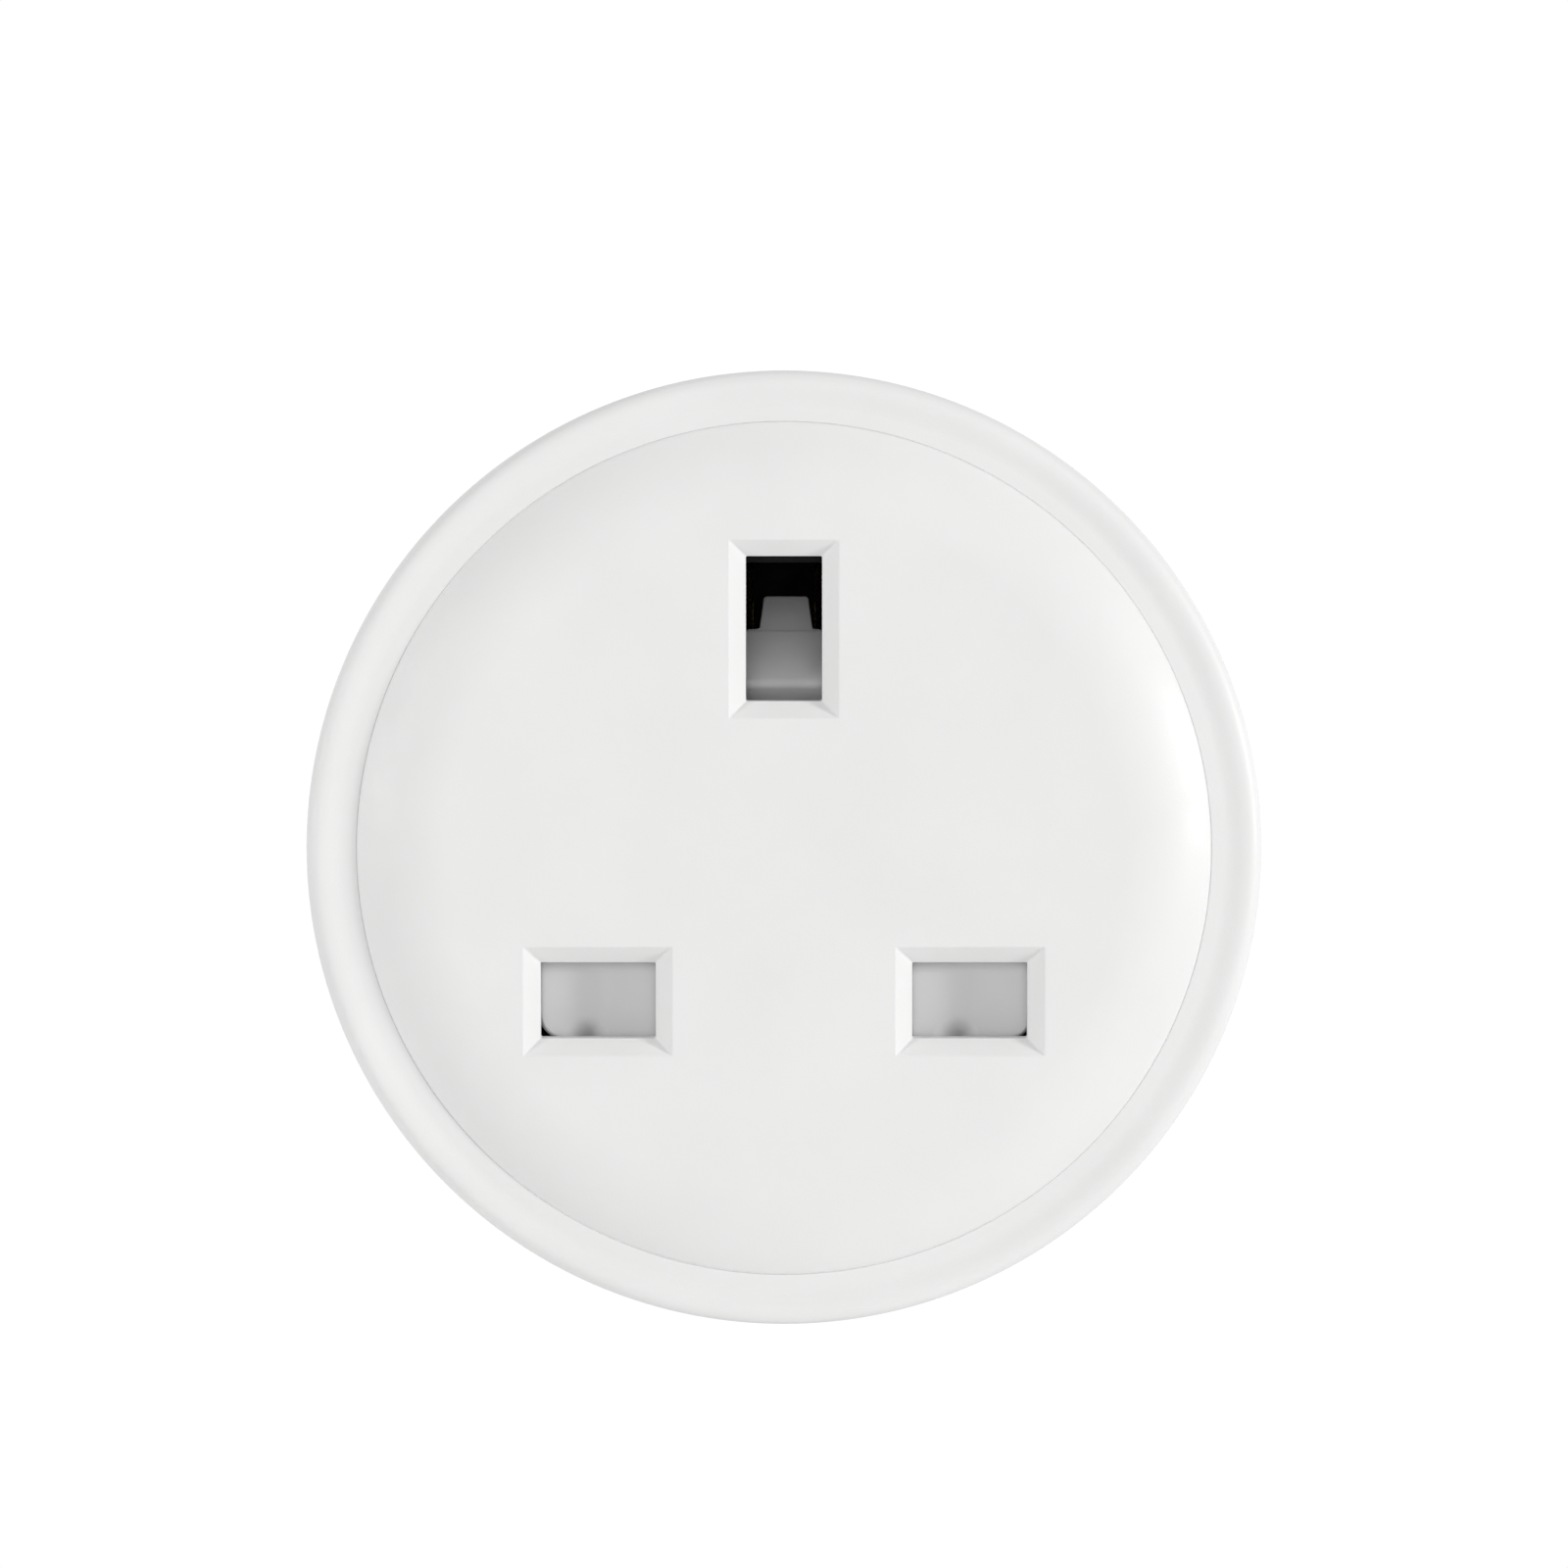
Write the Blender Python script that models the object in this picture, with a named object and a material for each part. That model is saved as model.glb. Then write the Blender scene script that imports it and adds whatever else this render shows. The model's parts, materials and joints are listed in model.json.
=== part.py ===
"""A plug-in power meter for a three-pin 13 A wall socket, with a switched socket on its front.

The part stands as it does in the wall: +Z is up, towards the earth pin, and its front faces -Y. The
origin is the middle of the face that meets the wall. Pieces are drawn in millimetres in the plug's own
frame, (x, up, out), where out is the distance in front of the wall. FACING_OUT turns it into the world's.
"""

import math

import bmesh
import bpy
from mathutils import Euler, Vector

MM = 0.001
FACING_OUT = Euler((math.pi / 2, 0, 0))
UPRIGHT = Euler((0, 0, 0))
SMOOTH_BELOW = math.radians(35)

# The three-pin system: the pitch of the pins sets every other place.
PIN_PITCH = 22.225
POLE_X = PIN_PITCH / 2
POLES_UP = -9.0
EARTH_UP = POLES_UP + PIN_PITCH
POLES = {"line": POLE_X, "neutral": -POLE_X}
POLE_PIN = (6.35, 3.95, 17.7)  # width, height and length beyond the wall face
EARTH_PIN = (4.0, 8.0, 22.7)
SLEEVE_LENGTH = 9.5
PIN_NECK = (5.2, 2.8)  # the live pins' section under their sleeves
NECK_GAP = 0.15

# The body.
BODY_DEPTH = 36.0
RIM_R = 28.6
RIM_OUT = 34.35
SPLIT_R = 28.15
SPLIT_OUT = 9.0
CASE_INNER_R = 26.5
DISC_R = 25.42
RING_FLOOR_OUT = 34.1
PLATE_THICKNESS = 2.5
PLATE_BACK = BODY_DEPTH - PLATE_THICKNESS
FLOOR_THICKNESS = 2.5
GAP = 0.3
STEP = 0.05  # how far a turned shoulder leans, so that its two rings differ in height
ROUND_STEPS = 48
SMALL_STEPS = 16

# The three screws, from the wall side into the face plate's bosses.
SCREW_PLACES = {"left": (-13.5, 17.0), "right": (13.5, 17.0), "lower": (0.0, -22.5)}
BOSS_R = 2.5
SCREW_R = 1.4
SCREW_HEAD_R = 2.75
SCREW_SEAT = 3.4
TUBE_END = 6.15

# The shutter: its layer lies between the face plate and the socket core.
SHUTTER_FRONT = PLATE_BACK - 0.2
SHUTTER_BACK = 31.0
SHUTTER_TRAVEL = 6.1
FLAP_TOP = -5.4
FLAP_BOTTOM = -11.6
CROSSBAR_BOTTOM = -7.8
STEM_HALF = 2.2
CAM_HALF = 2.45
CAM_FOOT_UP = 8.3
CAM_RAMP_UP = 9.85
CAM_TOP_UP = 14.95
SPRING_OUT = (SHUTTER_FRONT + SHUTTER_BACK) / 2
SPRING_SEAT_UP = -18.9

# The socket core, which holds the contacts and guides the shutter.
CORE_FRONT = 30.9
CORE_BACK = 29.4
CORE_R = 23.5

# The boards.
BOARD_BACK = 6.4
BOARD_FRONT = 8.0
BOARD_R = 24.8
MOUNTED = BOARD_FRONT + GAP  # where a piece that stands on the main board starts
CONTROL_BOARD_UP = (19.0, 20.0)

# The power button, in the top of the barrel.
BUTTON_OUT = 17.0
BUTTON_R = 3.5
BUTTON_TOP_UP = 27.95
BUTTON_FLANGE_UP = (24.9, 25.75)
LED_OUT = 24.0
PIPE_R = 1.2

MATERIALS = {  # base colour, roughness, metallic
    "housing_white": ((0.86, 0.86, 0.85), 0.45, 0.0),
    "shutter_grey": ((0.42, 0.43, 0.44), 0.5, 0.0),
    "core_black": ((0.05, 0.05, 0.055), 0.5, 0.0),
    "sleeve_black": ((0.03, 0.03, 0.03), 0.45, 0.0),
    "brass": ((0.78, 0.58, 0.28), 0.28, 1.0),
    "spring_steel": ((0.62, 0.62, 0.6), 0.3, 1.0),
    "zinc_steel": ((0.66, 0.66, 0.64), 0.35, 1.0),
    "board_green": ((0.03, 0.2, 0.09), 0.4, 0.0),
    "relay_blue": ((0.04, 0.16, 0.5), 0.4, 0.0),
    "can_sleeve": ((0.04, 0.05, 0.12), 0.3, 0.0),
    "choke_black": ((0.06, 0.06, 0.06), 0.55, 0.0),
    "varistor_blue": ((0.05, 0.2, 0.45), 0.35, 0.0),
    "resistor_green": ((0.25, 0.42, 0.32), 0.5, 0.0),
    "copper_alloy": ((0.72, 0.45, 0.3), 0.3, 1.0),
    "chip_black": ((0.02, 0.02, 0.022), 0.5, 0.0),
    "shield_tin": ((0.72, 0.73, 0.74), 0.32, 1.0),
    "switch_black": ((0.03, 0.03, 0.03), 0.5, 0.0),
    "led_white": ((0.8, 0.82, 0.8), 0.3, 0.0),
    "pipe_clear": ((0.9, 0.93, 0.95), 0.12, 0.0),
}


def place(x, up, out):
    """A point of the plug's frame in the world, in metres."""
    return Vector((x, -out, up)) * MM


def material(slot):
    found = bpy.data.materials.get(slot)
    if found:
        return found
    colour, roughness, metallic = MATERIALS[slot]
    made = bpy.data.materials.new(slot)
    made.use_nodes = True
    shader = made.node_tree.nodes["Principled BSDF"]
    shader.inputs["Base Color"].default_value = (*colour, 1.0)
    shader.inputs["Roughness"].default_value = roughness
    shader.inputs["Metallic"].default_value = metallic
    return made


def mesh_object(name, bm, turn, at):
    mesh = bpy.data.meshes.new(name)
    bmesh.ops.recalc_face_normals(bm, faces=bm.faces)
    bm.to_mesh(mesh)
    bm.free()
    mesh.shade_smooth()
    mesh.set_sharp_from_angle(angle=SMOOTH_BELOW)
    item = bpy.data.objects.new(name, mesh)
    item.rotation_euler = turn
    item.location = at
    bpy.context.collection.objects.link(item)
    return item


def piece(name, bm, slot, turn=FACING_OUT, at=(0, 0, 0)):
    item = mesh_object(name, bm, turn, at)
    item.data.materials.append(material(slot))
    return item


def guide(name, bm, turn=FACING_OUT, at=(0, 0, 0)):
    """A shape that only cuts or joins another, and isn't a piece of the object."""
    item = mesh_object(name, bm, turn, at)
    item.hide_render = True
    item.display_type = "WIRE"
    return item


def combine(target, shape, operation):
    modifier = target.modifiers.new(f"{operation.title()} {shape.name}", "BOOLEAN")
    modifier.operation = operation
    modifier.object = shape
    modifier.solver = "EXACT"


def cut(target, shape):
    combine(target, shape, "DIFFERENCE")


def fuse(target, shape):
    combine(target, shape, "UNION")


def loft(bm, rings, closed=False):
    """Skin a row of rings with the same number of points, and cap its ends or join them."""
    loops = [[bm.verts.new(Vector(point) * MM) for point in ring] for ring in rings]
    pairs = list(zip(loops, loops[1:]))
    if closed:
        pairs.append((loops[-1], loops[0]))
    else:
        bm.faces.new(loops[0][::-1])
        bm.faces.new(loops[-1])
    for first, second in pairs:
        for i in range(len(first)):
            j = (i + 1) % len(first)
            bm.faces.new((first[i], first[j], second[j], second[i]))


def arc(centre, radius, start, end, steps):
    angles = [math.radians(start + (end - start) * k / steps) for k in range(steps + 1)]
    return [(centre[0] + radius * math.cos(a), centre[1] + radius * math.sin(a)) for a in angles]


def rounded(width, height, radius, centre=(0, 0), steps=2):
    """The outline of a rectangle with rounded corners."""
    across = width / 2 - radius
    along = height / 2 - radius
    corners = ((across, along, 0), (-across, along, 90), (-across, -along, 180), (across, -along, 270))
    points = []
    for x, y, start in corners:
        points += arc((centre[0] + x, centre[1] + y), radius, start, start + 90, steps)
    return points


def turned(bm, profile, centre=(0, 0), closed=False, steps=SMALL_STEPS):
    """Turn a profile of (radius, height) points about the local Z axis."""
    rings = []
    for radius, height in profile:
        circle = arc(centre, radius, 0, 360, steps)[:-1]
        rings.append([(x, y, height) for x, y in circle])
    loft(bm, rings, closed)


def prism(bm, outline, low, high, along="out"):
    """Extrude an outline: in (x, up) along out, in (out, up) along x, or in (x, out) along up."""
    turn = {
        "out": lambda a, b, h: (a, b, h),
        "x": lambda a, b, h: (h, b, a),
        "up": lambda a, b, h: (a, h, b),
    }[along]
    loft(bm, [[turn(a, b, h) for a, b in outline] for h in (low, high)])


def block(bm, x, up, out):
    """A box between the low and high values of x, up and out."""
    outline = [(x[0], up[0]), (x[1], up[0]), (x[1], up[1]), (x[0], up[1])]
    prism(bm, outline, *out)


def tapered(bm, sections, centre=(0, 0), steps=2):
    """A bar along out whose rounded rectangle changes: sections of (out, width, height, corner radius)."""
    rings = []
    for out, width, height, radius in sections:
        rings.append([(x, up, out) for x, up in rounded(width, height, radius, centre, steps)])
    loft(bm, rings)


def tube(bm, path, radius, sides):
    """A round wire along a path that lies nearly across the up direction."""
    up = Vector((0, 1, 0))
    rings = []
    for k, point in enumerate(path):
        before = Vector(path[max(k - 1, 0)])
        after = Vector(path[min(k + 1, len(path) - 1)])
        tangent = (after - before).normalized()
        normal = (up - tangent * up.dot(tangent)).normalized()
        across = tangent.cross(normal)
        angles = [math.tau * s / sides for s in range(sides)]
        centre = Vector(point)
        rings.append([centre + radius * (math.cos(a) * normal + math.sin(a) * across) for a in angles])
    loft(bm, rings)


def front_case():
    """The barrel: a rounded rim with a raised bead, and a lip that the face plate's flange sits behind."""
    rim_round = 0.8
    lip_r = DISC_R + GAP
    lip_back = 33.0
    floor_r = 26.4
    bead_r = RIM_R - rim_round
    bead_height = RIM_OUT - RING_FLOOR_OUT
    bead_steps = 4
    bead = []
    for k in range(1, bead_steps + 1):
        fall = (1 + math.cos(math.pi * k / bead_steps)) / 2
        bead.append((bead_r + (floor_r - bead_r) * k / bead_steps, RING_FLOOR_OUT + bead_height * fall))
    rear = SPLIT_OUT + GAP / 2
    profile = [
        (SPLIT_R, rear),
        *arc((bead_r, RIM_OUT - rim_round), rim_round, 0, 90, 4),
        *bead,
        (lip_r, RING_FLOOR_OUT),
        (lip_r, lip_back),
        (CASE_INNER_R, lip_back),
        (CASE_INNER_R, rear),
    ]
    bm = bmesh.new()
    turned(bm, profile, closed=True, steps=ROUND_STEPS)
    case = piece("front_case", bm, "housing_white")
    hole_foot = 20.0
    hole_height = 12.0
    holes = (("button_hole", BUTTON_R + GAP, BUTTON_OUT), ("pipe_hole", PIPE_R + GAP, LED_OUT))
    for name, radius, out in holes:
        bm = bmesh.new()
        turned(bm, [(radius, 0), (radius, hole_height)])
        cut(case, guide(name, bm, UPRIGHT, place(0, hole_foot, out)))


def aperture(bm, width, height, centre):
    """A pin aperture with a chamfered mouth, as a cutter that runs past both faces of the plate."""
    chamfer = 1.0
    past = 0.5
    corner = 0.15
    mouth = BODY_DEPTH + past
    spread = 2 * (chamfer + past)
    sections = [
        (PLATE_BACK - past, width, height, corner),
        (BODY_DEPTH - chamfer, width, height, corner),
        (mouth, width + spread, height + spread, corner),
    ]
    tapered(bm, sections, centre)


def face_plate():
    """The domed disc with the three apertures, a flange round its edge and three long screw bosses."""
    flat_r = 20.3
    shoulder_r = 8.3
    shoulder_end = math.degrees(math.acos((DISC_R - flat_r) / shoulder_r))
    flange_r = 26.2
    flange = (31.6, 32.7)
    skirt_r = 24.0
    profile = [
        *arc((flat_r, BODY_DEPTH - shoulder_r), shoulder_r, 90, shoulder_end, 5),
        (DISC_R, flange[1]),
        (flange_r, flange[1]),
        (flange_r, flange[0]),
        (skirt_r, flange[0]),
        (skirt_r, PLATE_BACK),
    ]
    bm = bmesh.new()
    turned(bm, profile, steps=ROUND_STEPS)
    plate = piece("face_plate", bm, "housing_white")
    overlap = 0.5
    boss_end = TUBE_END + GAP
    pilot_r = SCREW_R + GAP
    pilot_end = 16.5
    bm = bmesh.new()
    for centre in SCREW_PLACES.values():
        turned(bm, [(BOSS_R, boss_end), (BOSS_R, PLATE_BACK + overlap)], centre)
    fuse(plate, guide("plate_bosses", bm))
    bm = bmesh.new()
    for centre in SCREW_PLACES.values():
        turned(bm, [(pilot_r, boss_end - overlap), (pilot_r, pilot_end)], centre)
    pole_hole = (6.9, 4.55)
    earth_hole = (4.55, 8.65)
    for x in POLES.values():
        aperture(bm, *pole_hole, (x, POLES_UP))
    aperture(bm, *earth_hole, (0, EARTH_UP))
    cut(plate, guide("plate_holes", bm))


def rear_cover():
    """The cup against the wall, with slots for the pins and a tube round each screw."""
    edge = 0.4
    tongue_r = CASE_INNER_R - GAP
    tongue_inner_r = 25.3
    tongue_out = 11.0
    profile = [
        (SPLIT_R - edge, 0),
        (SPLIT_R, edge),
        (SPLIT_R, SPLIT_OUT),
        (tongue_r, SPLIT_OUT),
        (tongue_r, tongue_out),
        (tongue_inner_r, tongue_out),
        (tongue_inner_r, FLOOR_THICKNESS),
    ]
    bm = bmesh.new()
    turned(bm, profile, steps=ROUND_STEPS)
    cover = piece("rear_cover", bm, "housing_white")
    tube_r = 4.0
    overlap = 0.5
    bm = bmesh.new()
    for centre in SCREW_PLACES.values():
        turned(bm, [(tube_r, FLOOR_THICKNESS - overlap), (tube_r, TUBE_END)], centre)
    fuse(cover, guide("cover_tubes", bm))
    head_hole_r = SCREW_HEAD_R + GAP
    shank_hole_r = SCREW_R + GAP
    slot_gap = GAP
    corner = 0.3
    bm = bmesh.new()
    for centre in SCREW_PLACES.values():
        step = [(head_hole_r, -overlap), (head_hole_r, SCREW_SEAT), (shank_hole_r, SCREW_SEAT + STEP)]
        turned(bm, [*step, (shank_hole_r, TUBE_END + overlap)], centre)
    slots = [(POLE_PIN, (x, POLES_UP)) for x in POLES.values()] + [(EARTH_PIN, (0, EARTH_UP))]
    for (width, height, _), centre in slots:
        outline = rounded(width + slot_gap, height + slot_gap, corner, centre)
        prism(bm, outline, -overlap, FLOOR_THICKNESS + overlap)
    cut(cover, guide("cover_holes", bm))


def shutter():
    """One moulding: two flaps on a crossbar, a stem, and a 45 degree cam behind the earth aperture.

    The cam stands upright up to the earth pin's lower edge, and leans back above it.
    """
    flap_inner = 7.3
    flap_outer = 14.9
    outer_round = 2.0
    inner_round = 0.5
    right = [
        (STEM_HALF, CAM_FOOT_UP),
        (STEM_HALF, FLAP_TOP),
        *arc((flap_outer - inner_round, FLAP_TOP - inner_round), inner_round, 90, 0, 2),
        *arc((flap_outer - outer_round, FLAP_BOTTOM + outer_round), outer_round, 0, -90, 5),
        *arc((flap_inner + inner_round, FLAP_BOTTOM + inner_round), inner_round, 270, 180, 2),
        (flap_inner, CROSSBAR_BOTTOM),
    ]
    left = [(-x, up) for x, up in reversed(right)]
    middle = (SHUTTER_FRONT + SHUTTER_BACK) / 2
    bm = bmesh.new()
    prism(bm, right + left, SHUTTER_BACK - middle, SHUTTER_FRONT - middle)
    body = piece("shutter", bm, "shutter_grey", at=place(0, 0, middle))
    cam_depth = SHUTTER_FRONT - SHUTTER_BACK
    shoulder_up = 12.95
    tongue_half = 1.58
    tip_half = 1.35
    root = 0.4
    ease = 0.6
    ease_lean = 0.2
    steps = [  # height, half width, and how far the section leans from level to upright
        (CAM_FOOT_UP - root, CAM_HALF, 0.0),
        (CAM_RAMP_UP - ease, CAM_HALF, 0.0),
        (CAM_RAMP_UP + ease, CAM_HALF, ease_lean),
        (shoulder_up, CAM_HALF, 1.0),
        (shoulder_up + GAP, tongue_half, 1.0),
        (CAM_TOP_UP, tip_half, 1.0),
    ]
    rings = []
    for up, half, lean in steps:
        front = SHUTTER_FRONT - max(up - CAM_RAMP_UP, 0)
        back = front - cam_depth * (1 - lean)
        low = up - cam_depth * lean
        rings.append([(-half, up, front), (half, up, front), (half, low, back), (-half, low, back)])
    bm = bmesh.new()
    loft(bm, rings)
    fuse(body, guide("shutter_cam", bm))


def shutter_spring():
    """The return spring: it stands on the core's ledge and pushes the shutter's crossbar up."""
    coil_r = 0.9
    wire_r = 0.16
    turns = 7
    steps = 12
    foot = SPRING_SEAT_UP + GAP / 2 + wire_r
    head = CROSSBAR_BOTTOM - GAP / 2 - wire_r
    path = []
    for k in range(turns * steps + 1):
        angle = math.tau * k / steps
        up = foot + (head - foot) * k / (turns * steps)
        path.append((coil_r * math.cos(angle), up, coil_r * math.sin(angle)))
    bm = bmesh.new()
    tube(bm, path, wire_r, 5)
    piece("shutter_spring", bm, "spring_steel", at=place(0, 0, SPRING_OUT))


def socket_core():
    """The plate behind the shutter: the contacts' chambers, the stem's rails and the spring's ledge."""
    chamber = (8.6, 8.2)
    chamber_inner = (7.0, 6.6)
    chamber_back = 16.6
    earth_chamber = (8.6, 9.2)
    earth_inner = (7.0, 7.6)
    earth_back = 11.2
    earth_floor = (12.4, 13.0)
    leaf_slot = (1.9, 2.95)
    leaf_slot_half = 3.7
    cam_path_back = 27.6
    overlap = 0.5
    corner = 0.3
    bm = bmesh.new()
    turned(bm, [(CORE_R, CORE_BACK), (CORE_R, CORE_FRONT)], steps=ROUND_STEPS)
    core = piece("socket_core", bm, "core_black")
    rail = (STEM_HALF + GAP, 3.7)
    rail_up = (-4.6, 7.0)
    ledge_half = 1.6
    ledge_up = (-19.7, SPRING_SEAT_UP)
    raised = (CORE_FRONT - overlap, PLATE_BACK - GAP)
    bm = bmesh.new()
    for x in POLES.values():
        prism(bm, rounded(*chamber, corner, (x, POLES_UP)), chamber_back, CORE_BACK + overlap)
    prism(bm, rounded(*earth_chamber, corner, (0, EARTH_UP)), earth_back, CORE_BACK + overlap)
    block(bm, rail, rail_up, raised)
    block(bm, (-rail[1], -rail[0]), rail_up, raised)
    block(bm, (-ledge_half, ledge_half), ledge_up, raised)
    fuse(core, guide("core_walls", bm))
    past = 0.6
    mouth_height = 4.9
    cam_slot_half = CAM_HALF + GAP
    cam_slot_up = (1.8, 17.6)
    notch_r = BOSS_R + 0.5
    bm = bmesh.new()
    for x in POLES.values():
        prism(bm, rounded(*chamber_inner, corner, (x, POLES_UP)), chamber_back - past, CORE_BACK - GAP)
    block(bm, (-cam_slot_half, cam_slot_half), cam_slot_up, (CORE_BACK - past, CORE_FRONT + past))
    for centre in SCREW_PLACES.values():
        turned(bm, [(notch_r, CORE_BACK - past), (notch_r, CORE_FRONT + past)], centre)
    cut(core, guide("core_chambers", bm))
    bm = bmesh.new()
    hollow = rounded(*earth_inner, corner, (0, EARTH_UP))
    prism(bm, hollow, earth_back - past, earth_floor[0])
    prism(bm, hollow, earth_floor[1], CORE_BACK - GAP)
    for x in POLES.values():
        mouth = rounded(chamber_inner[0], mouth_height, corner, (x, POLES_UP))
        prism(bm, mouth, CORE_BACK - past - GAP, CORE_FRONT + past)
    cut(core, guide("core_mouths", bm))
    bm = bmesh.new()
    slot_up = (EARTH_UP - leaf_slot_half, EARTH_UP + leaf_slot_half)
    slot_out = (earth_floor[0] - GAP, earth_floor[1] + GAP)
    block(bm, leaf_slot, slot_up, slot_out)
    block(bm, (-leaf_slot[1], -leaf_slot[0]), slot_up, slot_out)
    cut(core, guide("core_leaf_slots", bm))
    bm = bmesh.new()
    cam_path_up = (cam_slot_up[0], EARTH_UP)
    block(bm, (-cam_slot_half, cam_slot_half), cam_path_up, (cam_path_back, CORE_BACK + past))
    cut(core, guide("core_cam_path", bm))


def clip(across, mouth_out, bridge_out):
    """The bent strip of a contact in (out, sideways): two leaves with flared mouths and a bridge."""
    strip = 0.6
    inner = across / 2
    flare = 0.35
    bend = 0.8
    outer = inner + strip
    upper = [
        (bridge_out + strip, inner),
        (mouth_out - bend, inner),
        (mouth_out, inner + flare),
        (mouth_out, outer + flare),
        (mouth_out - bend, outer),
        (bridge_out, outer),
    ]
    return upper + [(out, -side) for out, side in reversed(upper)]


def pole_contact(pole, x):
    """A pole's spring clip: its leaves lie above and below the pin, and a tail stands on the main board."""
    pin_gap = 4.1
    mouth = 29.0
    bridge = 16.9
    half_width = 3.0
    bm = bmesh.new()
    prism(bm, clip(pin_gap, mouth, bridge), -half_width, half_width, along="x")
    contact = piece(f"{pole}_socket_contact", bm, "brass", at=place(x, POLES_UP, 0))
    tail_half = (1.2, 0.35)
    overlap = 0.3
    bm = bmesh.new()
    block(bm, (-tail_half[0], tail_half[0]), (-tail_half[1], tail_half[1]), (MOUNTED, bridge + overlap))
    fuse(contact, guide(f"{pole}_contact_tail", bm, at=place(x, POLES_UP, 0)))


def earth_contact():
    """The earth clip: its leaves pass through the chamber's floor, and a low bridge joins them behind it."""
    pin_gap = 4.15
    mouth = 27.2
    bridge = 11.5
    half_height = 3.4
    bridge_top = -1.4
    outline = [(side, out) for out, side in clip(pin_gap, mouth, bridge)]
    bm = bmesh.new()
    prism(bm, outline, -half_height, half_height, along="up")
    contact = piece("earth_socket_contact", bm, "brass", at=place(0, EARTH_UP, 0))
    past = 0.5
    window_half = pin_gap / 2 + 0.02
    window_out = (bridge - past, bridge + 2 * past)
    bm = bmesh.new()
    block(bm, (-window_half, window_half), (bridge_top, half_height + past), window_out)
    cut(contact, guide("earth_contact_window", bm, at=place(0, EARTH_UP, 0)))


def earth_strap():
    """The strap that joins the earth contact to the earth pin through the main board."""
    back = 5.5
    front = 11.2
    strip = 0.8
    half_width = 1.5
    foot = 2.6
    outline = [
        (back, strip / 2),
        (back, -foot),
        (back + strip, -foot),
        (back + strip, -strip / 2),
        (front - strip, -strip / 2),
        (front - strip, -foot),
        (front, -foot),
        (front, strip / 2),
    ]
    bm = bmesh.new()
    prism(bm, outline, -half_width, half_width, along="x")
    piece("earth_strap", bm, "copper_alloy", at=place(0, EARTH_UP, 0))


def pin_sections(size, neck, neck_end, head):
    """The sections of a pin from its tapered tip to its head inside the cover."""
    width, height, length = size
    corner = 0.35
    tip_cut = 1.4
    blunt_cut = 0.4
    head_back = FLOOR_THICKNESS + 0.2
    head_front = 5.2
    step = 0.1
    sections = [
        (-length, width - tip_cut, height - tip_cut, corner),
        (-length + tip_cut / 2, width - blunt_cut, height - blunt_cut, corner),
        (-length + 2 * tip_cut, width, height, corner),
    ]
    if neck:
        sections += [(-neck_end, width, height, corner), (-neck_end + step, *neck, corner)]
    shank = neck or (width, height)
    sections += [
        (head_back, *shank, corner),
        (head_back + step, *head, corner),
        (head_front, *head, corner),
    ]
    return sections


def pins():
    """Three solid pins: line and neutral are necked under their insulating sleeves."""
    neck_end = SLEEVE_LENGTH + NECK_GAP
    pole_head = (9.2, 6.4)
    earth_head = (6.8, 10.4)
    for pole, x in POLES.items():
        bm = bmesh.new()
        tapered(bm, pin_sections(POLE_PIN, PIN_NECK, neck_end, pole_head))
        piece(f"{pole}_pin", bm, "brass", at=place(x, POLES_UP, 0))
    bm = bmesh.new()
    tapered(bm, pin_sections(EARTH_PIN, None, 0, earth_head))
    piece("earth_pin", bm, "brass", at=place(0, EARTH_UP, 0))


def pin_sleeves():
    """The insulating sleeves, flush with the pins' bare ends."""
    width, height, _ = POLE_PIN
    inner = (PIN_NECK[0] + 2 * NECK_GAP, PIN_NECK[1] + 2 * NECK_GAP)
    inside_end = 2.3
    corner = 0.35
    past = 0.5
    for pole, x in POLES.items():
        bm = bmesh.new()
        tapered(bm, [(-SLEEVE_LENGTH, width, height, corner), (inside_end, width, height, corner)])
        sleeve = piece(f"{pole}_pin_sleeve", bm, "sleeve_black", at=place(x, POLES_UP, 0))
        bm = bmesh.new()
        tapered(bm, [(-SLEEVE_LENGTH - past, *inner, corner), (inside_end + past, *inner, corner)])
        cut(sleeve, guide(f"{pole}_sleeve_bore", bm, at=place(x, POLES_UP, 0)))


def main_board():
    """The round board under the mains parts, notched for the bosses and slotted for the earth strap."""
    notch_r = BOSS_R + 0.9
    strap_slot = (4.0, 2.0)
    past = 0.5
    corner = 0.3
    bm = bmesh.new()
    turned(bm, [(BOARD_R, BOARD_BACK), (BOARD_R, BOARD_FRONT)], steps=ROUND_STEPS)
    board = piece("main_board", bm, "board_green")
    bm = bmesh.new()
    ends = (BOARD_BACK - past, BOARD_FRONT + past)
    for centre in SCREW_PLACES.values():
        turned(bm, [(notch_r, out) for out in ends], centre)
    prism(bm, rounded(*strap_slot, corner, (0, EARTH_UP)), *ends)
    cut(board, guide("board_cuts", bm))


def relay():
    size = (10.2, 18.0, 15.0)
    centre = (0.0, -1.5)
    corner = 0.5
    lid = 0.4
    bm = bmesh.new()
    sections = [
        (0, size[0], size[1], corner),
        (size[2] - lid, size[0], size[1], corner),
        (size[2], size[0] - 2 * lid, size[1] - 2 * lid, corner),
    ]
    tapered(bm, sections)
    piece("relay", bm, "relay_blue", at=place(*centre, MOUNTED))


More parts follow.
